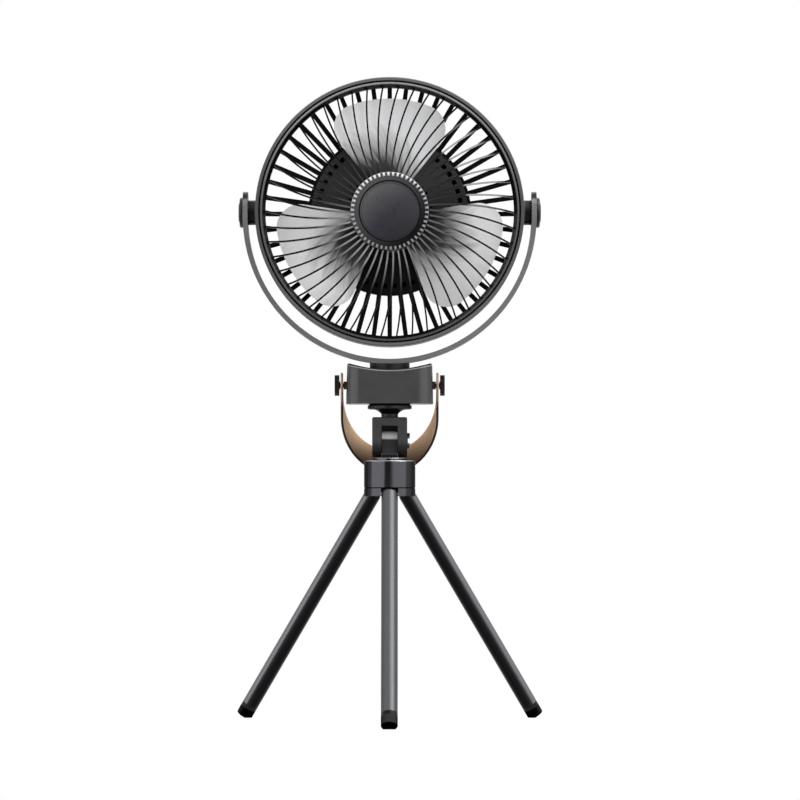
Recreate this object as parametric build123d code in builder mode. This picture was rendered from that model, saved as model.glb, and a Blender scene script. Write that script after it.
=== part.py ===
from build123d import *
import os
from math import asin, cos, degrees, radians, sin, sqrt

os.makedirs("parts", exist_ok=True)

# A camping fan on a folding mini tripod. +Z is up, the fan blows towards -Y, +X is its right side.
# The origin lies on the ground in the middle of the standing fan's bounding box. Sizes in mm.

# ---------------------------------------------------------------- tripod legs
leg_azimuths = {"front": -90, "right": 30, "left": 150}
leg_tilt = 34.1  # from the vertical, legs open
leg_length = 181.95  # hinge to the end of the foot
leg_tube_r = 5.5
leg_tube_wall = 0.9
leg_hinge_r = 12.6  # hinge to the tripod's axis
knuckle_crown = 1.9  # knuckle above its hinge
knuckle_round = 3.2
knuckle_neck = 7.0  # hinge to the end of the tube
knuckle_plug = 12.0
knuckle_gap = 0.3
pin_r = 1.1
pin_half = 9.4
foot_r = 5.5
foot_height = 6.5
foot_plug = 8.0
foot_round = 0.6
foot_flat = 1.2  # what the ground flat takes off the foot's lowest corner

# ---------------------------------------------------------------- tripod hub
hub_r = 17.2
hub_height = 18.2
hub_round = 0.8
hub_boss_r = 11.7
hub_boss_rise = 1.7
collar_below_hinge = 1.9
collar_above_hinge = 3.7
collar_core_r = 6.8
collar_step = 0.45
collar_screw_r = 2.0
collar_screw_head_r = 3.8
collar_screw_length = 13.0

# ---------------------------------------------------------------- tilt head
tongue_half_x = 5.2
tongue_r = 6.3
tilt_rise = 13.2  # hub top to the tilt axis
clevis_half_x = 11.7
clevis_r = 11.1
clevis_rise = 15.7  # tilt axis to the clevis top
clevis_slot_half = 5.5
clevis_slot_rise = 10.0
clevis_web_y = 7.5
clevis_edge = 0.8
tilt_screw_r = 2.5
tilt_head_r = 5.4
tilt_head_thick = 1.8
tilt_slot_width = 3.2
tilt_slot_depth = 1.3
tilt_nut_r = 4.0
tilt_nut_thick = 2.4
tilt_nut_recess = 0.4  # the nut lies in a pocket of the left cheek, below its face
neck_r = 5.65
neck_height = 2.3
flare_height = 3.0
flare_mid_out = 2.2  # the flare's middle, outside the neck
flare_mid_drop = 1.15  # and below the platform
platform_r = 14.8
platform_thick = 2.9
platform_edge = 0.4
platform_lip = 1.2
pad_r = 13.6
pad_thick = 0.8
stud_r = 3.1
stud_into_clevis = 4.2
stud_above_pad = 6.5
stud_edge = 0.6

# ---------------------------------------------------------------- base block
block_half_x = 29.1  # at the bottom
block_half_y = 20.0
block_height = 27.5
block_corner = 10.0
block_taper = 1.4  # degrees
block_edge = 1.2
saddle_r = 90.0
cavity_half_x = 19.0
cavity_half_y = 15.0
cavity_roof = 4.4  # swivel seat to the cavity
cover_thick = 2.8
cover_boss_r = 8.0
cover_boss_rise = 6.4
insert_r = 5.0
insert_length = 7.6
thread_clearance = 0.08
cover_screw_r = 1.25
cover_screw_head_r = 2.3
cover_screw_x = 23.0
cover_screw_y = 11.0
cover_screw_length = 9.0

# ---------------------------------------------------------------- swivel and yoke
seat_drop = 6.8  # block top to the swivel seat
loose_gap = 0.3  # round pieces that must not rub
swivel_washer_r = 10.0
swivel_washer_thick = 0.6
swivel_disc_r = 13.4
swivel_disc_height = 5.4  # at its middle, up to the yoke
swivel_bolt_r = 2.0
swivel_bolt_head_r = 4.2
swivel_nut_r = 4.0
swivel_nut_thick = 3.2
swivel_bolt_end = 1.0  # past the nut
yoke_outset = 8.3  # outside the fan's ring
yoke_thick = 3.3
yoke_width = 16.0
yoke_pad_r = 14.0
yoke_pad_blend = 14.0
pivot_lift = 3.3  # the head's pivot over the middle of the yoke's arc

# ---------------------------------------------------------------- carrying strap
strap_drop = 15.1  # block top to the strap's axis
strap_tilt = 39.0  # from straight down, backwards
strap_outer_half = 32.8
strap_thick = 1.55
strap_width = 25.0
strap_tab_r = 8.7
strap_straight = 18.3
strap_bow = 47.5
strap_taper_length = 24.0
strap_hole_gap = 0.2
strap_screw_r = 1.5
strap_screw_depth = 7.0
strap_boss_r = 2.7
strap_gap = 0.35
thumb_collar = 0.6  # as wide as the boss
thumb_r = 7.0
thumb_thick = 3.1
thumb_flutes = 24
thumb_flute_r = 0.37

# ---------------------------------------------------------------- fan head, rings and grilles
# In the head, "forward" is measured from the pivot axis towards the front.
ring_r = 90.0
ring_half_depth = 14.0
ring_wall = 2.2
ring_shoulder_inset = 5.2  # inside ring_r, as are the rim's lip and its opening
ring_shoulder_front = 0.5
ring_shoulder_thick = 2.5
ring_round = 0.7
rim_gap = 0.3
rim_edge = 0.8
rim_lip_inset = 4.3
rim_web = 4.0
opening_inset = 6.9
boss_r = 8.3
boss_notches = 24
boss_notch = 0.7
boss_gap = 0.25  # boss to yoke
knob_r = 10.15
knob_thick = 2.1
knob_gap = 0.2
knob_round = 1.3
knob_crown_r = 6.5
knob_crown = 0.6
pivot_screw_r = 2.0
pivot_screw_head_r = 4.5
pivot_screw_head = 1.4
turning_play = 0.05  # of a shaft that turns in its hole
push_fit = 0.1  # round pieces that are pushed together
spoke_count = 50
spoke_width = 1.1
spoke_depth = 3.0
spoke_start_angle = -5.34  # clockwise from straight up, at the collar
spoke_swirl = 9.7  # clockwise, from the collar to the rim
spoke_sag = 0.45  # how far the middle of a spoke lags behind
dome_front = 17.0  # forward face of the spokes at the collar
dome_edge = 9.0  # and at the rim
dome_bulge = 1.2
grille_collar_r = 26.3
grille_collar_front = 18.2
grille_notch_r = 23.5  # where the collar's notches start
grille_notch_width = 1.5
grille_collar_back = 12.6
grille_collar_edge = 0.6
grille_plate_front = 15.2
cap_r = 20.0
cap_gap = 0.3
cap_edge = 2.2
cap_dome = 1.1
rib_count = 48
rib_width_outer = 3.0
rib_width_inner = 3.2
rib_depth = 3.6
rib_overlap = 0.9  # of a rib's ends with the rim and the drum ring
rib_set_back = 0.5
rear_rim_thick = 2.0
rear_rim_inset = 0.4
rear_lip = 3.6

# ---------------------------------------------------------------- drum with battery and board
drum_r = 53.0
drum_ring_wall = 1.9  # of the grille's ring round the drum
drum_wall = 2.0
drum_front = -14.0
drum_split = -38.0
drum_back = -42.0
drum_round = 3.0
drum_ring_depth = 7.0
vent_inset = 4.6  # from the drum's outside, as post_inset
vent_width = 3.2
vent_height = 3.0
inner_vent_count = 36
inner_vent_r = 28.6
inner_vent_size = 1.6
post_inset = 7.0
post_r = 3.4
post_angles = (90, 190, 350)
cover_bolt_r = 1.4
cover_bolt_head_r = 2.7
cover_bolt_head = 1.0
cover_bolt_recess = 1.2
cover_bolt_length = 12.0
cell_r = 9.15
cell_half_length = 32.5
cell_offset = 22.0
cell_gap = 0.15
board_thick = 1.6
board_half_x = 24.0
board_top = 24.0
board_bottom_inset = 9.0
board_gap = 2.2  # board to the inside of the rear cover
board_post_r = 2.0
board_post_in_x = 3.0
board_post_in_z = 5.0
button_r = 5.0
control_gap = 0.3  # round the buttons and the inlet
button_proud = 1.2
button_flange_r = 6.2
button_flange = 1.0
button_x = 13.0
button_z = -14.0
lens_r = 1.5
lens_z = 2.0
usb_inset = 17.0
usb_half_x = 4.5
usb_half_z = 1.7
usb_wall = 0.4
usb_corner = 1.6
usb_back_wall = 0.8
usb_tongue = 0.7
usb_tongue_half_x = 3.3

# ---------------------------------------------------------------- motor and impeller
bearing_tube_r = 5.5
bearing_tube_front = 3.4
bearing_tube_back = -26.0
bearing_r = 4.0
bearing_width = 3.0
bearing_relief = 1.0
shaft_r = 1.5
stator_r = 19.4
stator_slots = 12
stator_slot_width = 2.0
stator_core_r = 9.5
stator_back = -11.0
stator_front = 2.0
magnet_gap = 0.5
magnet_thick = 2.0
cup_wall = 1.0
hub_wall = 3.4
impeller_back = -10.0
impeller_front = 9.6
impeller_web = 1.6
impeller_edge = 1.0
cup_front = 5.0
cup_back = -9.5
nut_r = 5.0
nut_thick = 2.8
shaft_end = 0.6  # past the nut
nut_pocket_r = 8.0
blade_count = 3
blade_tip_gap = 6.4  # opening to the blades' tips
blade_root_angle = 32.5
blade_tip_angle = 36.6
blade_corner = 16.0
blade_thick = 1.6
blade_mid = -2.0
blade_camber = 1.6
blade_root_r = 24.6
blade_overlap = 3.3  # how far the blade is drawn past its tip before it is trimmed
# The blade's slope and half its untrimmed width, at three radii from inside outwards.
blade_inner = (18.0, 0.50, 22.0)
blade_middle = (48.0, 0.18, 42.0)
blade_outer_slope = 0.06
blade_outer_half = 60.0

through = 1.0  # how far a cut runs past the faces it opens

# ---------------------------------------------------------------- radii and heights from the sizes
opening_r = ring_r - opening_inset
ring_shoulder_r = ring_r - ring_shoulder_inset
rim_lip_r = ring_r - rim_lip_inset
blade_r = opening_r - blade_tip_gap
yoke_r = ring_r + yoke_outset
drum_ring_r = drum_r + push_fit + drum_ring_wall
vent_r = drum_r - vent_inset
post_circle_r = drum_r - post_inset
board_bottom = board_bottom_inset - drum_r
usb_z = usb_inset - drum_r
tilt_sin = sin(radians(leg_tilt))
tilt_cos = cos(radians(leg_tilt))
foot_end_z = foot_r * tilt_sin - foot_flat
hinge_z = foot_end_z + leg_length * tilt_cos
collar_bottom = hinge_z - collar_below_hinge
hub_bottom = hinge_z + collar_above_hinge
hub_top = hub_bottom + hub_height
tilt_z = hub_top + tilt_rise
clevis_top = tilt_z + clevis_rise
platform_bottom = clevis_top + neck_height + flare_height
platform_top = platform_bottom + platform_thick
block_bottom = platform_top + pad_thick
block_top = block_bottom + block_height
seat_z = block_top - seat_drop
disc_bottom = seat_z + swivel_washer_thick
yoke_bottom = disc_bottom + swivel_disc_height
yoke_z = yoke_bottom + yoke_r
head_z = yoke_z + pivot_lift
strap_z = block_top - strap_drop

# The feet reach furthest in Y, and the origin lies half way between their two ends.
foot_end_r = leg_hinge_r + leg_length * tilt_sin
front_reach = foot_end_r + (foot_r - foot_round) * tilt_cos - foot_round * tilt_sin + foot_round
back_share = sin(radians(leg_azimuths["right"]))
back_normal = tilt_sin * back_share
back_edge = (foot_r - foot_round) * sqrt(1 - back_normal**2)
back_reach = foot_end_r * back_share + back_edge + foot_round * (1 - back_normal)
axis_y = (front_reach - back_reach) / 2


def level(z):
    """The horizontal plane at height z, centred on the tripod's axis."""
    return Plane(origin=(0, axis_y, z))


def side(x, z):
    """The upright plane facing +X at x, with its origin at height z: local x runs back, local y up."""
    return Plane(origin=(x, axis_y, z), x_dir=(0, 1, 0), z_dir=(1, 0, 0))


def facing(forward, z=head_z):
    """The upright plane facing the front, so many mm forward of the pivot axis."""
    return Plane(origin=(0, axis_y - forward, z), x_dir=(1, 0, 0), z_dir=(0, -1, 0))


def polar(radius, clockwise):
    """A point on a head plane, at an angle clockwise from straight up."""
    return (radius * sin(radians(clockwise)), radius * cos(radians(clockwise)))


# Half sections of the head's round pieces: local x is forward, local y the radius.
head_section = Plane(origin=(0, axis_y, head_z), x_dir=(0, -1, 0), z_dir=(-1, 0, 0))
head_axis = Axis((0, axis_y, head_z), (0, 1, 0))
# Half sections of the tripod's round pieces: local x is the radius, local y the height.
tripod_section = Plane(origin=(0, axis_y, 0), x_dir=(1, 0, 0), z_dir=(0, -1, 0))
tripod_axis = Axis((0, axis_y, 0), (0, 0, 1))


def leg_plane(azimuth):
    """A leg's own plane: origin on its hinge, local x along the hinge pin, normal up along the leg."""
    out = Vector(cos(radians(azimuth)), sin(radians(azimuth)), 0)
    across = Vector(-sin(radians(azimuth)), cos(radians(azimuth)), 0)
    origin = Vector(0, axis_y, hinge_z) + out * leg_hinge_r
    return Plane(origin=origin, x_dir=across, z_dir=Vector(0, 0, tilt_cos) - out * tilt_sin)


def pin_plane(azimuth):
    """The plane across a leg's hinge pin: its normal runs along the pin."""
    leg = leg_plane(azimuth)
    return Plane(origin=leg.origin, x_dir=(0, 0, 1), z_dir=leg.x_dir)


# ================================================================ tripod
for leg_name, azimuth in leg_azimuths.items():
    leg = leg_plane(azimuth)

    # A solid knuckle with a rounded crown, and a plug that is pressed into the tube.
    with BuildPart() as knuckle:
        with BuildSketch(leg.offset(-knuckle_neck)):
            Circle(leg_tube_r)
        extrude(amount=knuckle_neck + knuckle_crown)
        crown = knuckle.faces().sort_by(Axis(leg.origin, leg.z_dir))[-1]
        fillet(crown.edges(), radius=knuckle_round)
        with BuildSketch(leg.offset(-knuckle_neck)):
            Circle(leg_tube_r - leg_tube_wall)
        extrude(amount=-knuckle_plug)
        with BuildSketch(pin_plane(azimuth)):
            Circle(pin_r + turning_play)
        extrude(amount=leg_tube_r + through, both=True, mode=Mode.SUBTRACT)
    knuckle.part.label = f"leg_knuckle_{leg_name}"
    export_step(knuckle.part, f"parts/leg_knuckle_{leg_name}.step")

    # The tube runs from the knuckle down to the foot.
    tube_length = leg_length - knuckle_neck - foot_height
    with BuildPart() as tube:
        with BuildSketch(leg.offset(-knuckle_neck)):
            Circle(leg_tube_r)
            Circle(leg_tube_r - leg_tube_wall, mode=Mode.SUBTRACT)
        extrude(amount=-tube_length)
    tube.part.label = f"leg_tube_{leg_name}"
    export_step(tube.part, f"parts/leg_tube_{leg_name}.step")

    # A rubber foot plugged into the tube's end, with a small flat where it stands on the ground.
    with BuildPart() as foot:
        with BuildSketch(leg.offset(-leg_length)):
            Circle(foot_r)
        extrude(amount=foot_height)
        sole = foot.faces().sort_by(Axis(leg.origin, leg.z_dir))[0]
        fillet(sole.edges(), radius=foot_round)
        with BuildSketch(leg.offset(foot_height - leg_length)):
            Circle(leg_tube_r - leg_tube_wall)
        extrude(amount=foot_plug)
        split(bisect_by=Plane.XY, keep=Keep.TOP)
    foot.part.label = f"leg_foot_{leg_name}"
    export_step(foot.part, f"parts/leg_foot_{leg_name}.step")

    with BuildPart() as pin:
        with BuildSketch(pin_plane(azimuth)):
            Circle(pin_r)
        extrude(amount=pin_half, both=True)
    pin.part.label = f"leg_pin_{leg_name}"
    export_step(pin.part, f"parts/leg_pin_{leg_name}.step")

# The collar holds the three hinge pins between its slots.
slot_half = leg_tube_r + knuckle_gap
with BuildPart() as leg_collar:
    with BuildSketch(level(collar_bottom)):
        Circle(hub_r)
    extrude(amount=hub_bottom - collar_bottom)
    with BuildSketch(level(hub_bottom - collar_step)):
        Circle(hub_r)
        Circle(hub_r - collar_step, mode=Mode.SUBTRACT)
    extrude(amount=collar_step, mode=Mode.SUBTRACT)
    with BuildSketch(level(collar_bottom)):
        for azimuth in leg_azimuths.values():
            with Locations(Rotation(0, 0, azimuth)):
                with Locations((collar_core_r + hub_r / 2, 0)):
                    Rectangle(hub_r, 2 * slot_half)
    extrude(amount=hub_bottom - collar_bottom, mode=Mode.SUBTRACT)
    for azimuth in leg_azimuths.values():
        with BuildSketch(pin_plane(azimuth)):
            Circle(pin_r)
        extrude(amount=pin_half, both=True, mode=Mode.SUBTRACT)
    with Locations(level(collar_bottom) * Rotation(180, 0, 0)):
        CounterSinkHole(collar_screw_r, collar_screw_head_r)
leg_collar.part.label = "leg_collar"
export_step(leg_collar.part, "parts/leg_collar.step")

screw_cone = collar_screw_head_r - collar_screw_r
with BuildPart() as collar_screw:
    with BuildSketch(tripod_section):
        with BuildLine():
            Polyline(
                (0, collar_bottom),
                (collar_screw_head_r, collar_bottom),
                (collar_screw_r, collar_bottom + screw_cone),
                (collar_screw_r, collar_bottom + collar_screw_length),
                (0, collar_bottom + collar_screw_length),
                close=True,
            )
        make_face()
    revolve(axis=tripod_axis)
collar_screw.part.label = "collar_screw"
export_step(collar_screw.part, "parts/collar_screw.step")

# The hub is a smooth drum with a low round boss and the tongue of the tilt joint on top.
with BuildPart() as tripod_hub:
    with BuildSketch(level(hub_bottom)):
        Circle(hub_r)
    extrude(amount=hub_height)
    fillet(tripod_hub.faces().sort_by(Axis.Z)[-1].edges(), radius=hub_round)
    with BuildSketch(level(hub_top)):
        Circle(hub_boss_r)
    extrude(amount=hub_boss_rise)
    fillet(tripod_hub.faces().sort_by(Axis.Z)[-1].edges(), radius=hub_round / 2)
    with BuildSketch(side(0, tilt_z)):
        Circle(tongue_r)
        with Locations((0, -tilt_rise / 2 - hub_round)):
            Rectangle(2 * tongue_r, tilt_rise + 2 * hub_round)
    extrude(amount=tongue_half_x, both=True)
    with BuildSketch(side(0, tilt_z)):
        Circle(tilt_screw_r + turning_play)
    extrude(amount=tongue_half_x + through, both=True, mode=Mode.SUBTRACT)
    with BuildSketch(level(hub_bottom)):
        Circle(collar_screw_r)
    extrude(amount=collar_bottom + collar_screw_length - hub_bottom, mode=Mode.SUBTRACT)
tripod_hub.part.label = "tripod_hub"
export_step(tripod_hub.part, "parts/tripod_hub.step")

# ================================================================ tilt head
# The clevis straddles the tongue, open to the front and below, with a web at the back.
with BuildPart() as clevis:
    with BuildSketch(side(0, tilt_z)):
        Circle(clevis_r)
        with Locations((0, clevis_rise / 2)):
            Rectangle(2 * clevis_r, clevis_rise)
    extrude(amount=clevis_half_x, both=True)
    chamfer(clevis.faces().sort_by(Axis.Z)[-1].edges(), length=clevis_edge)
    with BuildSketch(side(0, tilt_z)):
        with Locations((clevis_web_y - clevis_r, clevis_slot_rise - clevis_r)):
            Rectangle(2 * clevis_r, 2 * clevis_r)
    extrude(amount=clevis_slot_half, both=True, mode=Mode.SUBTRACT)
    with BuildSketch(side(0, tilt_z)):
        Circle(tilt_screw_r + turning_play)
    extrude(amount=clevis_half_x + through, both=True, mode=Mode.SUBTRACT)
    with BuildSketch(side(-clevis_half_x, tilt_z)):
        RegularPolygon(tilt_nut_r, 6)
    extrude(amount=tilt_nut_recess + tilt_nut_thick, mode=Mode.SUBTRACT)
    with BuildSketch(level(clevis_top)):
        Circle(stud_r)
    extrude(amount=-stud_into_clevis, mode=Mode.SUBTRACT)
clevis.part.label = "clevis"
export_step(clevis.part, "parts/clevis.step")

# A slotted screw from the right through cheeks and tongue, with its nut on the left.
with BuildPart() as tilt_screw:
    with BuildSketch(side(clevis_half_x, tilt_z)):
        Circle(tilt_screw_r)
    extrude(amount=tilt_nut_recess - 2 * clevis_half_x)
    with BuildSketch(side(clevis_half_x, tilt_z)):
        Circle(tilt_head_r)
    extrude(amount=tilt_head_thick)
    fillet(tilt_screw.faces().sort_by(Axis.X)[-1].edges(), radius=tilt_head_thick / 4)
    with BuildSketch(side(clevis_half_x + tilt_head_thick, tilt_z)):
        Rectangle(2 * tilt_head_r, tilt_slot_width)
    extrude(amount=-tilt_slot_depth, mode=Mode.SUBTRACT)
tilt_screw.part.label = "tilt_screw"
export_step(tilt_screw.part, "parts/tilt_screw.step")

with BuildPart() as tilt_nut:
    with BuildSketch(side(tilt_nut_recess - clevis_half_x, tilt_z)):
        RegularPolygon(tilt_nut_r, 6)
        Circle(tilt_screw_r + turning_play, mode=Mode.SUBTRACT)
    extrude(amount=tilt_nut_thick)
tilt_nut.part.label = "tilt_nut"
export_step(tilt_nut.part, "parts/tilt_nut.step")

# The platform flares from a narrow neck to the disc that carries the fan.
with BuildPart() as mount_platform:
    with BuildSketch(tripod_section):
        with BuildLine():
            neck_top = (neck_r, clevis_top + neck_height)
            Polyline((stud_r, clevis_top), (neck_r, clevis_top), neck_top)
            flare_end = (platform_r - platform_lip, platform_bottom)
            flare_mid = (neck_r + flare_mid_out, platform_bottom - flare_mid_drop)
            Spline(neck_top, flare_mid, flare_end)
            Polyline(
                flare_end,
                (platform_r, platform_bottom + platform_edge),
                (platform_r, platform_top - platform_edge),
                (platform_r - platform_edge, platform_top),
                (stud_r, platform_top),
                (stud_r, clevis_top),
            )
        make_face()
    revolve(axis=tripod_axis)
mount_platform.part.label = "mount_platform"
export_step(mount_platform.part, "parts/mount_platform.step")

with BuildPart() as platform_pad:
    with BuildSketch(level(platform_top)):
        Circle(pad_r)
        Circle(stud_r + loose_gap, mode=Mode.SUBTRACT)
    extrude(amount=pad_thick)
platform_pad.part.label = "platform_pad"
export_step(platform_pad.part, "parts/platform_pad.step")

with BuildPart() as mount_stud:
    with BuildSketch(level(clevis_top - stud_into_clevis)):
        Circle(stud_r)
    extrude(amount=block_bottom + stud_above_pad - clevis_top + stud_into_clevis)
    chamfer(mount_stud.faces().sort_by(Axis.Z)[-1].edges(), length=stud_edge)
mount_stud.part.label = "mount_stud"
export_step(mount_stud.part, "parts/mount_stud.step")

# ================================================================ base block
# A rounded block whose top is a saddle under the yoke, hollow from below.
cover_half_x = block_half_x - cover_thick
cover_half_y = block_half_y - cover_thick
cover_corner = block_corner - cover_thick
cover_top = block_bottom + cover_thick
cavity_top = seat_z - cavity_roof
saddle_z = block_top + sqrt(saddle_r**2 - block_half_x**2)
boss_face_x = strap_outer_half - strap_thick - strap_gap
cover_screw_places = GridLocations(2 * cover_screw_x, 2 * cover_screw_y, 2, 2)
with BuildPart() as base_block:
    with BuildSketch(level(block_bottom)):
        RectangleRounded(2 * block_half_x, 2 * block_half_y, block_corner)
    extrude(amount=block_height, taper=block_taper)
    with BuildSketch(facing(0, saddle_z)):
        Circle(saddle_r)
    extrude(amount=2 * block_half_y, both=True, mode=Mode.SUBTRACT)
    upper_rim = base_block.edges().filter_by_position(Axis.Z, seat_z, block_top + through)
    fillet(upper_rim, radius=block_edge)
    with BuildSketch(level(seat_z)):
        Circle(swivel_disc_r + loose_gap)
    extrude(amount=seat_drop + through, mode=Mode.SUBTRACT)
    with BuildSketch(side(0, strap_z)):
        Circle(strap_boss_r)
    extrude(amount=boss_face_x, both=True)
    with BuildSketch(level(block_bottom)):
        RectangleRounded(2 * cavity_half_x, 2 * cavity_half_y, block_corner / 2)
    extrude(amount=cavity_top - block_bottom, mode=Mode.SUBTRACT)
    with BuildSketch(level(block_bottom)):
        RectangleRounded(2 * cover_half_x, 2 * cover_half_y, cover_corner)
    extrude(amount=cover_thick, mode=Mode.SUBTRACT)
    with BuildSketch(level(cover_top)):
        with cover_screw_places:
            Circle(cover_screw_r)
    extrude(amount=cover_screw_length - cover_thick, mode=Mode.SUBTRACT)
    with BuildSketch(level(cavity_top)):
        Circle(swivel_bolt_r + turning_play)
    extrude(amount=seat_z - cavity_top, mode=Mode.SUBTRACT)
    for x_side in (-1, 1):
        with BuildSketch(side(x_side * boss_face_x, strap_z)):
            Circle(strap_screw_r + turning_play)
        extrude(amount=-x_side * (strap_screw_depth + loose_gap), mode=Mode.SUBTRACT)
base_block.part.label = "base_block"
export_step(base_block.part, "parts/base_block.step")

# The cover closes the block from below and carries the threaded insert in its boss.
with BuildPart() as base_cover:
    with BuildSketch(level(block_bottom)):
        RectangleRounded(
            2 * (cover_half_x - push_fit), 2 * (cover_half_y - push_fit), cover_corner - push_fit
        )
    extrude(amount=cover_thick)
    with BuildSketch(level(cover_top)):
        Circle(cover_boss_r)
    extrude(amount=cover_boss_rise)
    with BuildSketch(level(block_bottom)):
        Circle(insert_r)
    extrude(amount=insert_length, mode=Mode.SUBTRACT)
    with Locations(level(block_bottom) * Rotation(180, 0, 0)):
        with GridLocations(2 * cover_screw_x, 2 * cover_screw_y, 2, 2):
            CounterSinkHole(cover_screw_r, cover_screw_head_r)
base_cover.part.label = "base_cover"
export_step(base_cover.part, "parts/base_cover.step")

with BuildPart() as threaded_insert:
    with BuildSketch(level(block_bottom)):
        Circle(insert_r)
        Circle(stud_r + thread_clearance, mode=Mode.SUBTRACT)
    extrude(amount=insert_length)
threaded_insert.part.label = "threaded_insert"
export_step(threaded_insert.part, "parts/threaded_insert.step")

cover_cone = cover_screw_head_r - cover_screw_r
with BuildPart() as base_cover_screws:
    with BuildSketch(level(block_bottom)):
        with cover_screw_places:
            Circle(cover_screw_r)
    extrude(amount=cover_screw_length)
    for x_side in (-1, 1):
        for y_side in (-1, 1):
            with Locations(level(block_bottom)):
                with Locations((x_side * cover_screw_x, y_side * cover_screw_y, cover_cone / 2)):
                    Cone(cover_screw_head_r, cover_screw_r, cover_cone)
base_cover_screws.part.label = "base_cover_screws"
export_step(base_cover_screws.part, "parts/base_cover_screws.step")

# Fluted thumb screws hold the strap's tabs against the bosses.
thumb_x = strap_outer_half + strap_gap + thumb_collar
for side_name, x_side in {"left": -1, "right": 1}.items():
    with BuildPart() as strap_screw:
        with BuildSketch(side(x_side * (boss_face_x - strap_screw_depth), strap_z)):
            Circle(strap_screw_r)
        extrude(amount=x_side * (thumb_x - boss_face_x + strap_screw_depth))
        with BuildSketch(side(x_side * thumb_x, strap_z)):
            Circle(strap_boss_r)
        extrude(amount=-x_side * thumb_collar)
        with BuildSketch(side(x_side * thumb_x, strap_z)):
            Circle(thumb_r)
            with PolarLocations(thumb_r, thumb_flutes):
                Circle(thumb_flute_r, mode=Mode.SUBTRACT)
        extrude(amount=x_side * thumb_thick)
    strap_screw.part.label = f"strap_screw_{side_name}"
    export_step(strap_screw.part, f"parts/strap_screw_{side_name}.step")

# ================================================================ carrying strap
# A leather loop bent round the tilt head, hanging backwards from its two screws.
strap_sin = sin(radians(strap_tilt))
strap_cos = cos(radians(strap_tilt))
strap_plane = Plane(origin=(0, axis_y, strap_z), x_dir=(1, 0, 0), z_dir=(0, -strap_cos, -strap_sin))
strap_inner_half = strap_outer_half - strap_thick
with BuildPart() as strap:
    with BuildSketch(strap_plane):
        with BuildLine():
            Line((-strap_outer_half, strap_tab_r), (-strap_outer_half, -strap_straight))
            EllipticalCenterArc(
                (0, -strap_straight), strap_outer_half, strap_bow, start_angle=180, arc_size=180
            )
            Line((strap_outer_half, -strap_straight), (strap_outer_half, strap_tab_r))
            Line((strap_outer_half, strap_tab_r), (strap_inner_half, strap_tab_r))
            Line((strap_inner_half, strap_tab_r), (strap_inner_half, -strap_straight))
            inner_bow = strap_bow - strap_thick
            EllipticalCenterArc(
                (0, -strap_straight), strap_inner_half, inner_bow, start_angle=180, arc_size=180
            )
            Line((-strap_inner_half, -strap_straight), (-strap_inner_half, strap_tab_r))
            Line((-strap_inner_half, strap_tab_r), (-strap_outer_half, strap_tab_r))
        make_face()
    extrude(amount=strap_width / 2, both=True)
    tab_plane = Plane(origin=strap_plane.origin, x_dir=-strap_plane.z_dir, z_dir=(1, 0, 0))
    with BuildSketch(tab_plane):
        Circle(strap_tab_r)
        with BuildLine():
            half_width = strap_width / 2
            reach = strap_straight + strap_bow
            Polyline(
                (-strap_tab_r, 0),
                (strap_tab_r, 0),
                (half_width, -strap_taper_length),
                (half_width, -reach),
                (-half_width, -reach),
                (-half_width, -strap_taper_length),
                close=True,
            )
        make_face()
    extrude(amount=strap_outer_half, both=True, mode=Mode.INTERSECT)
    with BuildSketch(tab_plane):
        Circle(strap_screw_r + strap_hole_gap)
    extrude(amount=strap_outer_half, both=True, mode=Mode.SUBTRACT)
strap.part.label = "strap"
export_step(strap.part, "parts/strap.step")

# ================================================================ swivel and yoke
with BuildPart() as swivel_washer:
    with BuildSketch(level(seat_z)):
        Circle(swivel_washer_r)
        Circle(swivel_bolt_r, mode=Mode.SUBTRACT)
    extrude(amount=swivel_washer_thick)
swivel_washer.part.label = "swivel_washer"
export_step(swivel_washer.part, "parts/swivel_washer.step")

# The disc under the yoke is hollowed to the yoke's curve.
with BuildPart() as swivel_disc:
    with BuildSketch(level(disc_bottom)):
        Circle(swivel_disc_r)
        Circle(swivel_bolt_r, mode=Mode.SUBTRACT)
    extrude(amount=2 * swivel_disc_height)
    with BuildSketch(facing(0, yoke_z)):
        Circle(yoke_r)
    extrude(amount=2 * swivel_disc_r, both=True, mode=Mode.SUBTRACT)
swivel_disc.part.label = "swivel_disc"
export_step(swivel_disc.part, "parts/swivel_disc.step")

bolt_top = yoke_bottom + yoke_thick
bolt_cone = swivel_bolt_head_r - swivel_bolt_r
bolt_end = cavity_top - swivel_nut_thick - swivel_bolt_end
with BuildPart() as swivel_bolt:
    with BuildSketch(tripod_section):
        with BuildLine():
            Polyline(
                (0, bolt_end),
                (swivel_bolt_r, bolt_end),
                (swivel_bolt_r, bolt_top - bolt_cone),
                (swivel_bolt_head_r, bolt_top),
                (0, bolt_top),
                close=True,
            )
        make_face()
    revolve(axis=tripod_axis)
swivel_bolt.part.label = "swivel_bolt"
export_step(swivel_bolt.part, "parts/swivel_bolt.step")

with BuildPart() as swivel_nut:
    with BuildSketch(level(cavity_top)):
        RegularPolygon(swivel_nut_r, 6)
        Circle(swivel_bolt_r, mode=Mode.SUBTRACT)
    extrude(amount=-swivel_nut_thick)
swivel_nut.part.label = "swivel_nut"
export_step(swivel_nut.part, "parts/swivel_nut.step")

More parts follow.
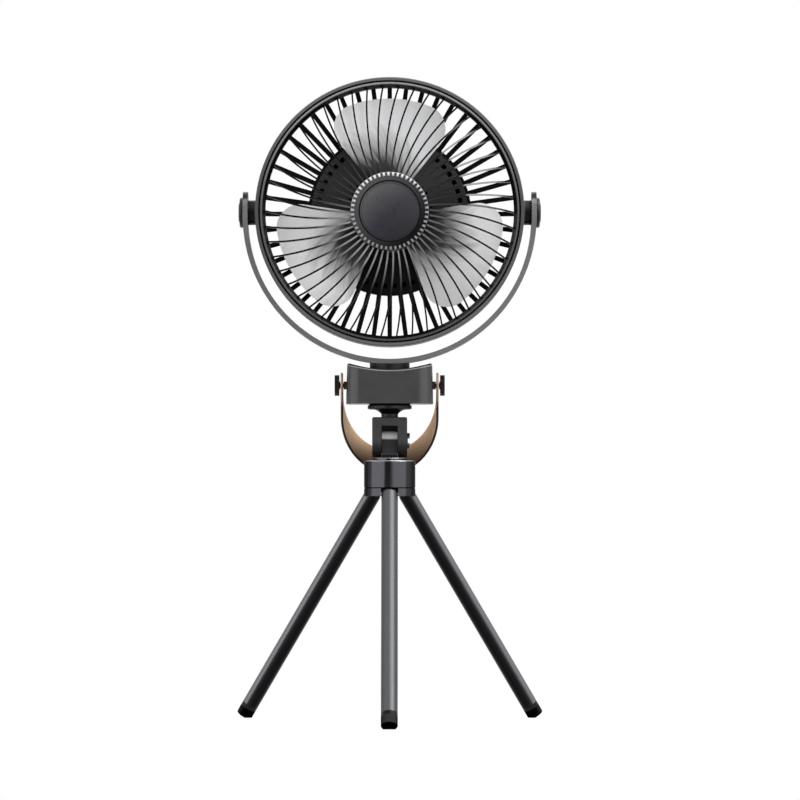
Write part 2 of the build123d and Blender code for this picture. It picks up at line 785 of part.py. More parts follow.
# The yoke is a flat strip bent to a U, with round pads at the pivots.
yoke_inner_r = yoke_r - yoke_thick
yoke_end = pivot_lift + yoke_pad_r
with BuildPart() as yoke:
    with BuildSketch(facing(0, yoke_z)):
        with BuildLine():
            Line((-yoke_r, yoke_end), (-yoke_r, 0))
            CenterArc((0, 0), yoke_r, 180, 180)
            Line((yoke_r, 0), (yoke_r, yoke_end))
            Line((yoke_r, yoke_end), (yoke_inner_r, yoke_end))
            Line((yoke_inner_r, yoke_end), (yoke_inner_r, 0))
            CenterArc((0, 0), yoke_inner_r, 180, 180)
            Line((-yoke_inner_r, 0), (-yoke_inner_r, yoke_end))
            Line((-yoke_inner_r, yoke_end), (-yoke_r, yoke_end))
        make_face()
    extrude(amount=yoke_pad_r, both=True)
    with BuildSketch(side(0, head_z)) as yoke_outline:
        Rectangle(yoke_width, yoke_r + pivot_lift, align=(Align.CENTER, Align.MAX))
        Circle(yoke_pad_r)
        waist = yoke_outline.vertices().filter_by_position(Axis.Y, -yoke_pad_r, -yoke_pad_r / 2)
        fillet(waist, radius=yoke_pad_blend)
    extrude(amount=2 * yoke_r, both=True, mode=Mode.INTERSECT)
    with BuildSketch(side(0, head_z)):
        Circle(pivot_screw_r + turning_play)
    extrude(amount=2 * yoke_r, both=True, mode=Mode.SUBTRACT)
    with Locations(level(bolt_top)):
        CounterSinkHole(swivel_bolt_r, swivel_bolt_head_r)
yoke.part.label = "yoke"
export_step(yoke.part, "parts/yoke.step")

# ================================================================ fan head: outer ring and pivots
ring_inner_r = ring_r - ring_wall
shoulder_back = ring_shoulder_front - ring_shoulder_thick
boss_face = yoke_inner_r - boss_gap
with BuildPart() as outer_ring:
    with BuildSketch(head_section) as ring_profile:
        with BuildLine():
            Polyline(
                (-ring_half_depth, ring_r),
                (ring_half_depth, ring_r),
                (ring_half_depth, ring_inner_r),
                (ring_shoulder_front, ring_inner_r),
                (ring_shoulder_front, ring_shoulder_r),
                (shoulder_back, ring_shoulder_r),
                (shoulder_back, ring_inner_r),
                (-ring_half_depth, ring_inner_r),
                close=True,
            )
        make_face()
        outer_corners = ring_profile.vertices().group_by(Axis.Y)[-1]
        fillet(outer_corners, radius=ring_round)
    revolve(axis=head_axis)
    for x_side in (-1, 1):
        with BuildSketch(side(x_side * (ring_inner_r + ring_wall / 2), head_z)):
            Circle(boss_r)
        extrude(amount=x_side * (boss_face - ring_inner_r - ring_wall / 2))
        with BuildSketch(side(x_side * boss_face, head_z)):
            with PolarLocations(boss_r, boss_notches):
                Rectangle(2 * boss_notch, boss_notch)
        extrude(amount=-x_side * 2 * boss_notch, mode=Mode.SUBTRACT)
        with BuildSketch(side(x_side * boss_face, head_z)):
            Circle(pivot_screw_r)
        extrude(amount=-x_side * (boss_face - ring_r + ring_wall / 4), mode=Mode.SUBTRACT)
outer_ring.part.label = "outer_ring"
export_step(outer_ring.part, "parts/outer_ring.step")

knob_x = yoke_r + knob_gap
for side_name, x_side in {"left": -1, "right": 1}.items():
    with BuildPart() as pivot_screw:
        with BuildSketch(side(x_side * (ring_r - ring_wall / 4), head_z)):
            Circle(pivot_screw_r)
        extrude(amount=x_side * (knob_x - ring_r + ring_wall / 4))
        with BuildSketch(side(x_side * knob_x, head_z)):
            RegularPolygon(pivot_screw_head_r, 6)
        extrude(amount=x_side * pivot_screw_head)
    pivot_screw.part.label = f"pivot_screw_{side_name}"
    export_step(pivot_screw.part, f"parts/pivot_screw_{side_name}.step")

    with BuildPart() as pivot_knob:
        with BuildSketch(side(x_side * knob_x, head_z)):
            Circle(knob_r)
        extrude(amount=x_side * knob_thick)
        outer_face = pivot_knob.faces().sort_by(Axis.X)[-1 if x_side > 0 else 0]
        fillet(outer_face.edges(), radius=knob_round)
        with BuildSketch(side(x_side * (knob_x + knob_thick), head_z)):
            Circle(knob_crown_r)
        extrude(amount=x_side * knob_crown, taper=45)
        with BuildSketch(side(x_side * knob_x, head_z)):
            RegularPolygon(pivot_screw_head_r, 6)
        extrude(amount=x_side * pivot_screw_head, mode=Mode.SUBTRACT)
    pivot_knob.part.label = f"pivot_knob_{side_name}"
    export_step(pivot_knob.part, f"parts/pivot_knob_{side_name}.step")

# ================================================================ front grille
# One swirling spoke, drawn flat, then repeated and cut to a shallow dome.
rim_outer_r = ring_inner_r - rim_gap
spoke_end_r = opening_r + (rim_outer_r - opening_r) / 2
spoke_foot_r = cap_r + (grille_collar_r - cap_r) / 2
spoke_mid_r = (spoke_foot_r + spoke_end_r) / 2
spoke_mid_angle = spoke_start_angle + spoke_swirl / 2 - spoke_sag
with BuildSketch() as spoke:
    with BuildLine():
        ThreePointArc(
            polar(spoke_foot_r, spoke_start_angle),
            polar(spoke_mid_r, spoke_mid_angle),
            polar(spoke_end_r, spoke_start_angle + spoke_swirl),
        )
    trace(line_width=spoke_width)

dome_mid = (dome_front + dome_edge) / 2 + dome_bulge
with BuildPart() as front_grille:
    with BuildSketch(facing(0)):
        with PolarLocations(0, spoke_count):
            add(spoke.sketch)
    extrude(amount=dome_front + dome_bulge)
    with BuildSketch(head_section):
        with BuildLine():
            front_start = (dome_front, cap_r)
            front_end = (dome_edge, rim_outer_r)
            back_start = (dome_front - spoke_depth, cap_r)
            back_end = (dome_edge - spoke_depth, rim_outer_r)
            ThreePointArc(front_start, (dome_mid, spoke_mid_r), front_end)
            Line(front_end, back_end)
            ThreePointArc(back_end, (dome_mid - spoke_depth, spoke_mid_r), back_start)
            Line(back_start, front_start)
        make_face()
    revolve(axis=head_axis, mode=Mode.INTERSECT)
    # The rim has a rounded lip in front and a slope down to the opening.
    with BuildSketch(head_section):
        with BuildLine():
            Polyline(
                (ring_shoulder_front, rim_outer_r),
                (ring_half_depth - rim_edge, rim_outer_r),
                (ring_half_depth, rim_outer_r - rim_edge),
                (ring_half_depth, rim_lip_r),
                (dome_edge, opening_r),
                (dome_edge - rim_web, opening_r),
                (ring_shoulder_front, ring_shoulder_r),
                close=True,
            )
        make_face()
    revolve(axis=head_axis)
    # The collar and the plate that carry the cap, notched between the spokes.
    with BuildSketch(head_section):
        with BuildLine():
            Polyline(
                (grille_collar_back, 0),
                (grille_plate_front, 0),
                (grille_plate_front, cap_r + cap_gap),
                (grille_collar_front, cap_r + cap_gap),
                (grille_collar_front, grille_collar_r - grille_collar_edge),
                (grille_collar_front - grille_collar_edge, grille_collar_r),
                (grille_collar_back, grille_collar_r),
                close=True,
            )
        make_face()
    revolve(axis=head_axis)
    with BuildSketch(facing(grille_collar_back)):
        notch_length = grille_collar_r + through - grille_notch_r
        notch_mid_r = grille_notch_r + notch_length / 2
        between_spokes = 90 - spoke_start_angle - 180 / spoke_count
        with PolarLocations(notch_mid_r, spoke_count, start_angle=between_spokes):
            Rectangle(notch_length, grille_notch_width)
    extrude(amount=grille_collar_front - grille_collar_back, mode=Mode.SUBTRACT)
front_grille.part.label = "front_grille"
export_step(front_grille.part, "parts/front_grille.step")

with BuildPart() as front_cap:
    with BuildSketch(head_section):
        with BuildLine():
            cap_top = grille_plate_front + cap_edge + cap_dome
            dome_r = (cap_r**2 + cap_dome**2) / (2 * cap_dome)
            dome = CenterArc((cap_top - dome_r, 0), dome_r, 0, degrees(asin(cap_r / dome_r)))
            Polyline(dome @ 1, (grille_plate_front, cap_r), (grille_plate_front, 0), dome @ 0)
        make_face()
    revolve(axis=head_axis)
front_cap.part.label = "front_cap"
export_step(front_cap.part, "parts/front_cap.step")

# ================================================================ rear grille
# Straight ribs run back from the rim to the ring round the drum.
rear_rim_back = -ring_half_depth + rear_rim_inset
rib_inner_r = drum_ring_r - rib_overlap
rib_outer_r = rim_outer_r - rib_overlap
rib_front = drum_front - rib_set_back
with BuildSketch() as rib:
    with BuildLine():
        Polyline(
            (-rib_width_inner / 2, rib_inner_r),
            (rib_width_inner / 2, rib_inner_r),
            (rib_width_outer / 2, rib_outer_r),
            (-rib_width_outer / 2, rib_outer_r),
            close=True,
        )
    make_face()

with BuildPart() as rear_grille:
    with BuildSketch(facing(drum_front - drum_ring_depth)):
        with PolarLocations(0, rib_count):
            add(rib.sketch)
    extrude(amount=drum_ring_depth + ring_half_depth)
    with BuildSketch(head_section):
        with BuildLine():
            Polyline(
                (rear_rim_back, rim_outer_r),
                (rear_rim_back + rib_depth, rim_outer_r),
                (rib_front, rib_inner_r),
                (rib_front - rib_depth, rib_inner_r),
                close=True,
            )
        make_face()
    revolve(axis=head_axis, mode=Mode.INTERSECT)
    with BuildSketch(head_section):
        with BuildLine():
            Polyline(
                (shoulder_back, rim_outer_r),
                (rear_rim_back, rim_outer_r),
                (rear_rim_back, ring_shoulder_r),
                (rear_rim_back + rear_lip, ring_shoulder_r),
                (rear_rim_back + rear_lip, rim_outer_r - rear_rim_thick),
                (shoulder_back, rim_outer_r - rear_rim_thick),
                close=True,
            )
        make_face()
    revolve(axis=head_axis)
    with BuildSketch(head_section):
        with Locations((drum_front - drum_ring_depth / 2, (drum_ring_r + drum_r + push_fit) / 2)):
            Rectangle(drum_ring_depth, drum_ring_r - drum_r - push_fit)
    revolve(axis=head_axis)
rear_grille.part.label = "rear_grille"
export_step(rear_grille.part, "parts/rear_grille.step")

# ================================================================ drum
wall_back = drum_front - drum_wall
rear_bearing_front = bearing_tube_back + drum_wall + bearing_width
with BuildPart() as drum_shell:
    with BuildSketch(head_section):
        with BuildLine():
            Polyline(
                (bearing_tube_back, bearing_tube_r),
                (wall_back, bearing_tube_r),
                (wall_back, drum_r - drum_wall),
                (drum_split, drum_r - drum_wall),
                (drum_split, drum_r),
                (drum_front, drum_r),
                (drum_front, bearing_tube_r),
                (bearing_tube_front, bearing_tube_r),
                (bearing_tube_front, bearing_r),
                (bearing_tube_front - bearing_width, bearing_r),
                (bearing_tube_front - bearing_width, bearing_r - bearing_relief),
                (rear_bearing_front, bearing_r - bearing_relief),
                (rear_bearing_front, bearing_r),
                (rear_bearing_front - bearing_width, bearing_r),
                (rear_bearing_front - bearing_width, 0),
                (bearing_tube_back, 0),
                close=True,
            )
        make_face()
    revolve(axis=head_axis)
    with BuildSketch(facing(drum_front)):
        with PolarLocations(vent_r, rib_count, start_angle=180 / rib_count):
            Rectangle(vent_height, vent_width)
        with PolarLocations(inner_vent_r, inner_vent_count):
            Rectangle(inner_vent_size, inner_vent_size)
    extrude(amount=-drum_wall, mode=Mode.SUBTRACT)
    with BuildSketch(facing(wall_back)):
        for angle in post_angles:
            with Locations(polar(post_circle_r, 90 - angle)):
                Circle(post_r)
    extrude(amount=drum_split - wall_back)
    with BuildSketch(facing(drum_split)):
        for angle in post_angles:
            with Locations(polar(post_circle_r, 90 - angle)):
                Circle(cover_bolt_r)
    extrude(amount=cover_bolt_length - (drum_split - drum_back), mode=Mode.SUBTRACT)
drum_shell.part.label = "drum_shell"
export_step(drum_shell.part, "parts/drum_shell.step")

cover_inside = drum_back + drum_wall
with BuildPart() as rear_cover:
    with BuildSketch(facing(drum_back)):
        Circle(drum_r)
    extrude(amount=drum_split - drum_back)
    fillet(rear_cover.faces().sort_by(Axis.Y)[-1].edges(), radius=drum_round)
    with BuildSketch(facing(cover_inside)):
        Circle(drum_r - drum_round)
    extrude(amount=drum_split - cover_inside, mode=Mode.SUBTRACT)
    with BuildSketch(facing(cover_inside)):
        for angle in post_angles:
            with Locations(polar(post_circle_r, 90 - angle)):
                Circle(post_r)
    extrude(amount=drum_split - cover_inside)
    with BuildSketch(facing(drum_back)):
        for angle in post_angles:
            with Locations(polar(post_circle_r, 90 - angle)):
                Circle(cover_bolt_r)
        for x_side in (-1, 1):
            with Locations((x_side * button_x, button_z)):
                Circle(button_r + control_gap)
        with Locations((0, lens_z)):
            Circle(lens_r)
        with Locations((0, usb_z)):
            RectangleRounded(
                2 * (usb_half_x + control_gap),
                2 * (usb_half_z + control_gap),
                usb_corner + control_gap,
            )
    extrude(amount=drum_split - drum_back, mode=Mode.SUBTRACT)
    with BuildSketch(facing(drum_back)):
        for angle in post_angles:
            with Locations(polar(post_circle_r, 90 - angle)):
                Circle(cover_bolt_head_r)
    extrude(amount=cover_bolt_recess, mode=Mode.SUBTRACT)
    # Four short posts hold the control board.
    board_back = cover_inside + board_gap
    with BuildSketch(facing(cover_inside)):
        with Locations((0, (board_top + board_bottom) / 2)):
            post_span_x = 2 * (board_half_x - board_post_in_x)
            post_span_z = board_top - board_bottom - 2 * board_post_in_z
            with GridLocations(post_span_x, post_span_z, 2, 2):
                Circle(board_post_r)
    extrude(amount=board_gap)
rear_cover.part.label = "rear_cover"
export_step(rear_cover.part, "parts/rear_cover.step")

with BuildPart() as rear_cover_screws:
    for angle in post_angles:
        with BuildSketch(facing(drum_back + cover_bolt_recess)):
            with Locations(polar(post_circle_r, 90 - angle)):
                Circle(cover_bolt_head_r)
        extrude(amount=-cover_bolt_head)
        with BuildSketch(facing(drum_back + cover_bolt_recess)):
            with Locations(polar(post_circle_r, 90 - angle)):
                Circle(cover_bolt_r)
        extrude(amount=cover_bolt_length - cover_bolt_recess)
rear_cover_screws.part.label = "rear_cover_screws"
export_step(rear_cover_screws.part, "parts/rear_cover_screws.step")

# ================================================================ battery, board and controls
cell_forward = wall_back - cell_gap - cell_r
for cell_name, z_side in {"upper": 1, "lower": -1}.items():
    with BuildPart() as cell:
        with BuildSketch(side(0, head_z + z_side * cell_offset)):
            with Locations((-cell_forward, 0)):
                Circle(cell_r)
        extrude(amount=cell_half_length, both=True)
        chamfer(cell.edges().filter_by(GeomType.CIRCLE), length=cell_r / 15)
    cell.part.label = f"battery_cell_{cell_name}"
    export_step(cell.part, f"parts/battery_cell_{cell_name}.step")

with BuildPart() as control_board:
    with BuildSketch(facing(board_back)):
        with Locations((0, (board_top + board_bottom) / 2)):
            Rectangle(2 * board_half_x, board_top - board_bottom)
    extrude(amount=board_thick)
control_board.part.label = "control_board"
export_step(control_board.part, "parts/control_board.step")

with BuildPart() as usb_port:
    with BuildSketch(facing(board_back)):
        with Locations((0, usb_z)):
            RectangleRounded(2 * usb_half_x, 2 * usb_half_z, usb_corner)
    usb_depth = board_back - drum_back
    extrude(amount=-usb_depth)
    with BuildSketch(facing(drum_back)):
        with Locations((0, usb_z)):
            RectangleRounded(
                2 * (usb_half_x - usb_wall), 2 * (usb_half_z - usb_wall), usb_corner - usb_wall
            )
            Rectangle(2 * usb_tongue_half_x, usb_tongue, mode=Mode.SUBTRACT)
    extrude(amount=usb_depth - usb_back_wall, mode=Mode.SUBTRACT)
usb_port.part.label = "usb_port"
export_step(usb_port.part, "parts/usb_port.step")

with BuildPart() as indicator_lens:
    with BuildSketch(facing(drum_back)):
        with Locations((0, lens_z)):
            Circle(lens_r)
    extrude(amount=drum_wall)
indicator_lens.part.label = "indicator_lens"
export_step(indicator_lens.part, "parts/indicator_lens.step")

for button_name, x_side in {"power": -1, "speed": 1}.items():
    with BuildPart() as button:
        with BuildSketch(facing(cover_inside)):
            with Locations((x_side * button_x, button_z)):
                Circle(button_r)
        extrude(amount=-(drum_wall + button_proud))
        fillet(button.faces().sort_by(Axis.Y)[-1].edges(), radius=button_proud / 2)
        with BuildSketch(facing(cover_inside)):
            with Locations((x_side * button_x, button_z)):
                Circle(button_flange_r)
        extrude(amount=button_flange)
    button.part.label = f"{button_name}_button"
    export_step(button.part, f"parts/{button_name}_button.step")

# ================================================================ motor
for bearing_name, front in {"front": bearing_tube_front, "rear": rear_bearing_front}.items():
    with BuildPart() as bearing:
        with BuildSketch(facing(front)):
            Circle(bearing_r)
            Circle(shaft_r + turning_play, mode=Mode.SUBTRACT)
        extrude(amount=-bearing_width)
    bearing.part.label = f"bearing_{bearing_name}"
    export_step(bearing.part, f"parts/bearing_{bearing_name}.step")

with BuildPart() as stator:
    with BuildSketch(facing(stator_back)):
        Circle(stator_r)
        with PolarLocations((stator_core_r + stator_r) / 2, stator_slots):
            Rectangle(stator_r - stator_core_r + through, stator_slot_width, mode=Mode.SUBTRACT)
        Circle(bearing_tube_r, mode=Mode.SUBTRACT)
    extrude(amount=stator_front - stator_back)
    with BuildSketch(facing(drum_front)):
        Circle(stator_core_r)
        Circle(bearing_tube_r, mode=Mode.SUBTRACT)
    extrude(amount=stator_back - drum_front)
stator.part.label = "stator"
export_step(stator.part, "parts/stator.step")

magnet_inner_r = stator_r + magnet_gap
cup_inner_r = magnet_inner_r + magnet_thick
cup_r = cup_inner_r + cup_wall
impeller_hub_r = cup_r + hub_wall
with BuildPart() as rotor_cup:
    with BuildSketch(facing(cup_front)):
        Circle(cup_r)
    extrude(amount=cup_back - cup_front)
    with BuildSketch(facing(cup_front - cup_wall)):
        Circle(cup_inner_r)
    extrude(amount=cup_back - cup_front, mode=Mode.SUBTRACT)
    with BuildSketch(facing(cup_front)):
        Circle(shaft_r)
    extrude(amount=-cup_wall, mode=Mode.SUBTRACT)
rotor_cup.part.label = "rotor_cup"
export_step(rotor_cup.part, "parts/rotor_cup.step")

with BuildPart() as rotor_magnet:
    with BuildSketch(facing(cup_front - 3 * cup_wall)):
        Circle(cup_inner_r)
        Circle(magnet_inner_r, mode=Mode.SUBTRACT)
    extrude(amount=cup_back - cup_front + 4 * cup_wall)
rotor_magnet.part.label = "rotor_magnet"
export_step(rotor_magnet.part, "parts/rotor_magnet.step")

pocket_floor = cup_front + impeller_web
shaft_front = pocket_floor + nut_thick + shaft_end
shaft_back = rear_bearing_front - bearing_width + push_fit
with BuildPart() as motor_shaft:
    with BuildSketch(facing(shaft_back)):
        Circle(shaft_r)
    extrude(amount=shaft_front - shaft_back)
motor_shaft.part.label = "motor_shaft"
export_step(motor_shaft.part, "parts/motor_shaft.step")

with BuildPart() as impeller_nut:
    with BuildSketch(facing(pocket_floor)):
        RegularPolygon(nut_r, 6)
        Circle(shaft_r, mode=Mode.SUBTRACT)
    extrude(amount=nut_thick)
impeller_nut.part.label = "impeller_nut"
export_step(impeller_nut.part, "parts/impeller_nut.step")

# ================================================================ impeller
# One twisted blade, built standing up from the axis: local z is forward, x clockwise.
with BuildPart() as blade:
    blade_outer = (blade_r + blade_overlap, blade_outer_slope, blade_outer_half)
    for station, slope, half_chord in (blade_inner, blade_middle, blade_outer):
        with BuildSketch(Plane(origin=(0, station, blade_mid), x_dir=(1, 0, 0), z_dir=(0, -1, 0))):
            with BuildLine():
                rise = slope * half_chord
                half = blade_thick / 2
                leading = (half_chord, -rise)
                trailing = (-half_chord, rise)
                ThreePointArc(
                    (trailing[0], trailing[1] + half),
                    (0, blade_camber + half),
                    (leading[0], leading[1] + half),
                )
                Line((leading[0], leading[1] + half), (leading[0], leading[1] - half))
                ThreePointArc(
                    (leading[0], leading[1] - half),
                    (0, blade_camber - half),
                    (trailing[0], trailing[1] - half),
                )
                Line((trailing[0], trailing[1] - half), (trailing[0], trailing[1] + half))
            make_face()
    loft()
    with BuildSketch() as planform:
        with BuildLine():
            Line(polar(blade_root_r, -blade_root_angle), polar(blade_r, -blade_tip_angle))
            ThreePointArc(
                polar(blade_r, -blade_tip_angle), (0, blade_r), polar(blade_r, blade_tip_angle)
            )
            Line(polar(blade_r, blade_tip_angle), polar(blade_root_r, blade_root_angle))
            ThreePointArc(
                polar(blade_root_r, blade_root_angle),
                (0, blade_root_r),
                polar(blade_root_r, -blade_root_angle),
            )
        make_face()
        corners = planform.vertices().sort_by_distance((0, 0, 0))[-2:]
        fillet(corners, radius=blade_corner)
    extrude(amount=ring_half_depth, both=True, mode=Mode.INTERSECT)

with BuildPart() as impeller:
    with Locations(facing(0)):
        with PolarLocations(0, blade_count):
            add(blade.part)
    with BuildSketch(head_section):
        with BuildLine():
            Polyline(
                (impeller_back, cup_r),
                (cup_front, cup_r),
                (cup_front, shaft_r),
                (pocket_floor, shaft_r),
                (pocket_floor, nut_pocket_r),
                (impeller_front, nut_pocket_r),
                (impeller_front, impeller_hub_r - impeller_edge),
                (impeller_front - impeller_edge, impeller_hub_r),
                (impeller_back, impeller_hub_r),
                close=True,
            )
        make_face()
    revolve(axis=head_axis)
impeller.part.label = "impeller"
export_step(impeller.part, "parts/impeller.step")
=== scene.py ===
import math

import bmesh
import bpy
from mathutils import Matrix, Vector


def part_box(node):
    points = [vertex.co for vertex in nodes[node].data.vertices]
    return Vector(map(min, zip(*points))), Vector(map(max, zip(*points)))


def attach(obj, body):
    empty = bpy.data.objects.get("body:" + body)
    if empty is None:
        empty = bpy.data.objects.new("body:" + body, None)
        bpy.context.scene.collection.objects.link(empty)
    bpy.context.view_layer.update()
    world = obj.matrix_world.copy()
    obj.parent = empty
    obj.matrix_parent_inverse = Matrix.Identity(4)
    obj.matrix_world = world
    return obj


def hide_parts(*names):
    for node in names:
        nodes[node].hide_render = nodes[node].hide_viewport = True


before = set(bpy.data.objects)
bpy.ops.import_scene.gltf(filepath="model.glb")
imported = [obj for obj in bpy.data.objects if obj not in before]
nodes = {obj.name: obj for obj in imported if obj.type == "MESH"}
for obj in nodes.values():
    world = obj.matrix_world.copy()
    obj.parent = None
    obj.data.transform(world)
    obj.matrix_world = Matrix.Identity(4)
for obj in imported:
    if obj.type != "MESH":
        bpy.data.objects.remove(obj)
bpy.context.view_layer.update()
scene = bpy.context.scene
MM = 0.001


def middle(node):
    low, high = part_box(node)
    return (low + high) / 2


# The axes that the pieces share: the tripod's axis, the head's axis and the strap's screws.
AXIS_Y = middle("yoke").y
HEAD_Z = middle("front_grille").z
STRAP_Z = middle("strap_screw_left").z

# ---------------------------------------------------------------- camera, lamps and floor
PIXEL = 0.67 * MM  # one pixel of the frame at the fan's depth
FRAME_PIXELS = 800
SENSOR = 36.0
DISTANCE = 3.0
CAMERA_X = 10.3 * PIXEL
CAMERA_Z = 0.138
CENTRE_Z = 0.2150  # what the middle of the frame shows at the fan's depth
RISE = CENTRE_Z - CAMERA_Z
camera_data = bpy.data.cameras.new("camera")
camera = bpy.data.objects.new("camera", camera_data)
scene.collection.objects.link(camera)
scene.camera = camera
camera_data.sensor_width = SENSOR
camera_data.lens = SENSOR * math.hypot(DISTANCE, RISE) / (FRAME_PIXELS * PIXEL)
camera_data.clip_start = 0.1
camera_data.clip_end = 50.0
camera.location = (CAMERA_X, AXIS_Y - DISTANCE, CAMERA_Z)
camera.rotation_euler = (math.radians(90) + math.atan(RISE / DISTANCE), 0, 0)

scene.view_settings.view_transform = "Standard"

FAN_MIDDLE = Vector((0, AXIS_Y, 0.22))
OVER_FAN = Vector((0, AXIS_Y, 0.76))


def softbox(name, place, width, height, radiance, target=FAN_MIDDLE):
    """A rectangular lamp at a place, turned to its target."""
    data = bpy.data.lights.new(name, "AREA")
    data.shape = "RECTANGLE"
    data.size = width
    data.size_y = height
    data.energy = radiance * math.pi * width * height
    lamp = bpy.data.objects.new(name, data)
    scene.collection.objects.link(lamp)
    lamp.location = place
    direction = target - Vector(place)
    lamp.rotation_euler = direction.to_track_quat("-Z", "Y").to_euler()


# Each lamp's name, place, width, height and radiance; the side lamps face a place over the fan.
softbox("lamp_top", (0.90, -0.40, 1.52), 1.1, 1.9, 4.4)
softbox("lamp_left", (-1.92, -1.25, 0.80), 3.0, 1.6, 2.3, OVER_FAN)
softbox("lamp_right", (1.63, -1.57, 0.80), 2.9, 1.6, 1.95, OVER_FAN)
softbox("lamp_back", (0.0, 1.9, 1.5), 1.8, 0.8, 1.6)


def seen_share(tree):
    """1 for camera, glossy and transmission rays, 0 for the light that falls on things."""
    path = tree.nodes.new("ShaderNodeLightPath")
    first = tree.nodes.new("ShaderNodeMath")
    first.operation = "MAXIMUM"
    tree.links.new(path.outputs["Is Camera Ray"], first.inputs[0])
    tree.links.new(path.outputs["Is Glossy Ray"], first.inputs[1])
    second = tree.nodes.new("ShaderNodeMath")
    second.operation = "MAXIMUM"
    tree.links.new(first.outputs[0], second.inputs[0])
    tree.links.new(path.outputs["Is Transmission Ray"], second.inputs[1])
    return second.outputs[0]


world = bpy.data.worlds.new("studio")
scene.world = world
world.use_nodes = True
world_tree = world.node_tree
background = world_tree.nodes["Background"]
WORLD_AS_LIGHT = 0.5
WORLD_AS_SEEN = 1.0
background.inputs["Color"].default_value = (1, 1, 1, 1)
strength = world_tree.nodes.new("ShaderNodeMapRange")
world_tree.links.new(seen_share(world_tree), strength.inputs["Value"])
strength.inputs["To Min"].default_value = WORLD_AS_LIGHT
strength.inputs["To Max"].default_value = WORLD_AS_SEEN
world_tree.links.new(strength.outputs["Result"], background.inputs["Strength"])

BOUNCE_GREY = 0.4  # of the floor as a source of light
SHADOW_GREY = 0.25  # the part of the seen floor that takes a shadow
FLOOR_GLOW = 0.78  # the part that doesn't
SHADOW_END = (0.16, 0.60)  # how far from the middle the shadow fades out
floor_material = bpy.data.materials.new("studio_floor")
floor_material.use_nodes = True
floor_tree = floor_material.node_tree
floor_tree.nodes.clear()
floor_output = floor_tree.nodes.new("ShaderNodeOutputMaterial")
plain = floor_tree.nodes.new("ShaderNodeBsdfDiffuse")
plain.inputs["Color"].default_value = (BOUNCE_GREY, BOUNCE_GREY, BOUNCE_GREY, 1)
shadowed = floor_tree.nodes.new("ShaderNodeBsdfDiffuse")
shadowed.inputs["Color"].default_value = (SHADOW_GREY, SHADOW_GREY, SHADOW_GREY, 1)
white = floor_tree.nodes.new("ShaderNodeEmission")
white.inputs["Strength"].default_value = FLOOR_GLOW
both = floor_tree.nodes.new("ShaderNodeAddShader")
floor_tree.links.new(shadowed.outputs[0], both.inputs[0])
floor_tree.links.new(white.outputs[0], both.inputs[1])
# Only the floor near the fan takes its shadow; further out it is as white as the backdrop.
far_white = floor_tree.nodes.new("ShaderNodeEmission")
spot = floor_tree.nodes.new("ShaderNodeTexCoord")
away = floor_tree.nodes.new("ShaderNodeVectorMath")
away.operation = "LENGTH"
floor_tree.links.new(spot.outputs["Object"], away.inputs[0])
far_share = floor_tree.nodes.new("ShaderNodeMapRange")
far_share.interpolation_type = "SMOOTHSTEP"
floor_tree.links.new(away.outputs["Value"], far_share.inputs["Value"])
far_share.inputs["From Min"].default_value = SHADOW_END[0]
far_share.inputs["From Max"].default_value = SHADOW_END[1]
near_far = floor_tree.nodes.new("ShaderNodeMixShader")
floor_tree.links.new(far_share.outputs["Result"], near_far.inputs[0])
floor_tree.links.new(both.outputs[0], near_far.inputs[1])
floor_tree.links.new(far_white.outputs[0], near_far.inputs[2])
floor_mix = floor_tree.nodes.new("ShaderNodeMixShader")
floor_tree.links.new(seen_share(floor_tree), floor_mix.inputs[0])
floor_tree.links.new(plain.outputs[0], floor_mix.inputs[1])
floor_tree.links.new(near_far.outputs[0], floor_mix.inputs[2])
floor_tree.links.new(floor_mix.outputs[0], floor_output.inputs["Surface"])

floor_mesh = bpy.data.meshes.new("studio_floor")
FLOOR_HALF = 6.0
floor_mesh.from_pydata(
    [(x * FLOOR_HALF, y * FLOOR_HALF, 0) for x, y in ((-1, -1), (1, -1), (1, 1), (-1, 1))],
    [],
    [(0, 1, 2, 3)],
)
floor_mesh.materials.append(floor_material)
floor = bpy.data.objects.new("studio_floor", floor_mesh)
scene.collection.objects.link(floor)
floor.location.z = -0.2 * MM  # clear of the feet

# A dark backdrop behind the camera, which only shows as a reflection.
flag_material = bpy.data.materials.new("studio_dark_backdrop")
flag_material.use_nodes = True
flag_shader = flag_material.node_tree.nodes["Principled BSDF"]
flag_shader.inputs["Base Color"].default_value = (0.01, 0.01, 0.01, 1)
flag_shader.inputs["Roughness"].default_value = 0.9
flag_mesh = bpy.data.meshes.new("studio_dark_backdrop")
FLAG_LEFT = -1.50
FLAG_RIGHT = 0.25
FLAG_TOP = 3.0
flag_mesh.from_pydata(
    [(FLAG_LEFT, 0, 0), (FLAG_RIGHT, 0, 0), (FLAG_RIGHT, 0, FLAG_TOP), (FLAG_LEFT, 0, FLAG_TOP)],
    [],
    [(0, 1, 2, 3)],
)
flag_mesh.materials.append(flag_material)
flag = bpy.data.objects.new("studio_dark_backdrop", flag_mesh)
scene.collection.objects.link(flag)
BEHIND_CAMERA = 0.4
flag.location = (0, AXIS_Y - DISTANCE - BEHIND_CAMERA, 0)
flag.visible_camera = False
flag.visible_diffuse = False
flag.visible_shadow = False
flag.visible_transmission = False


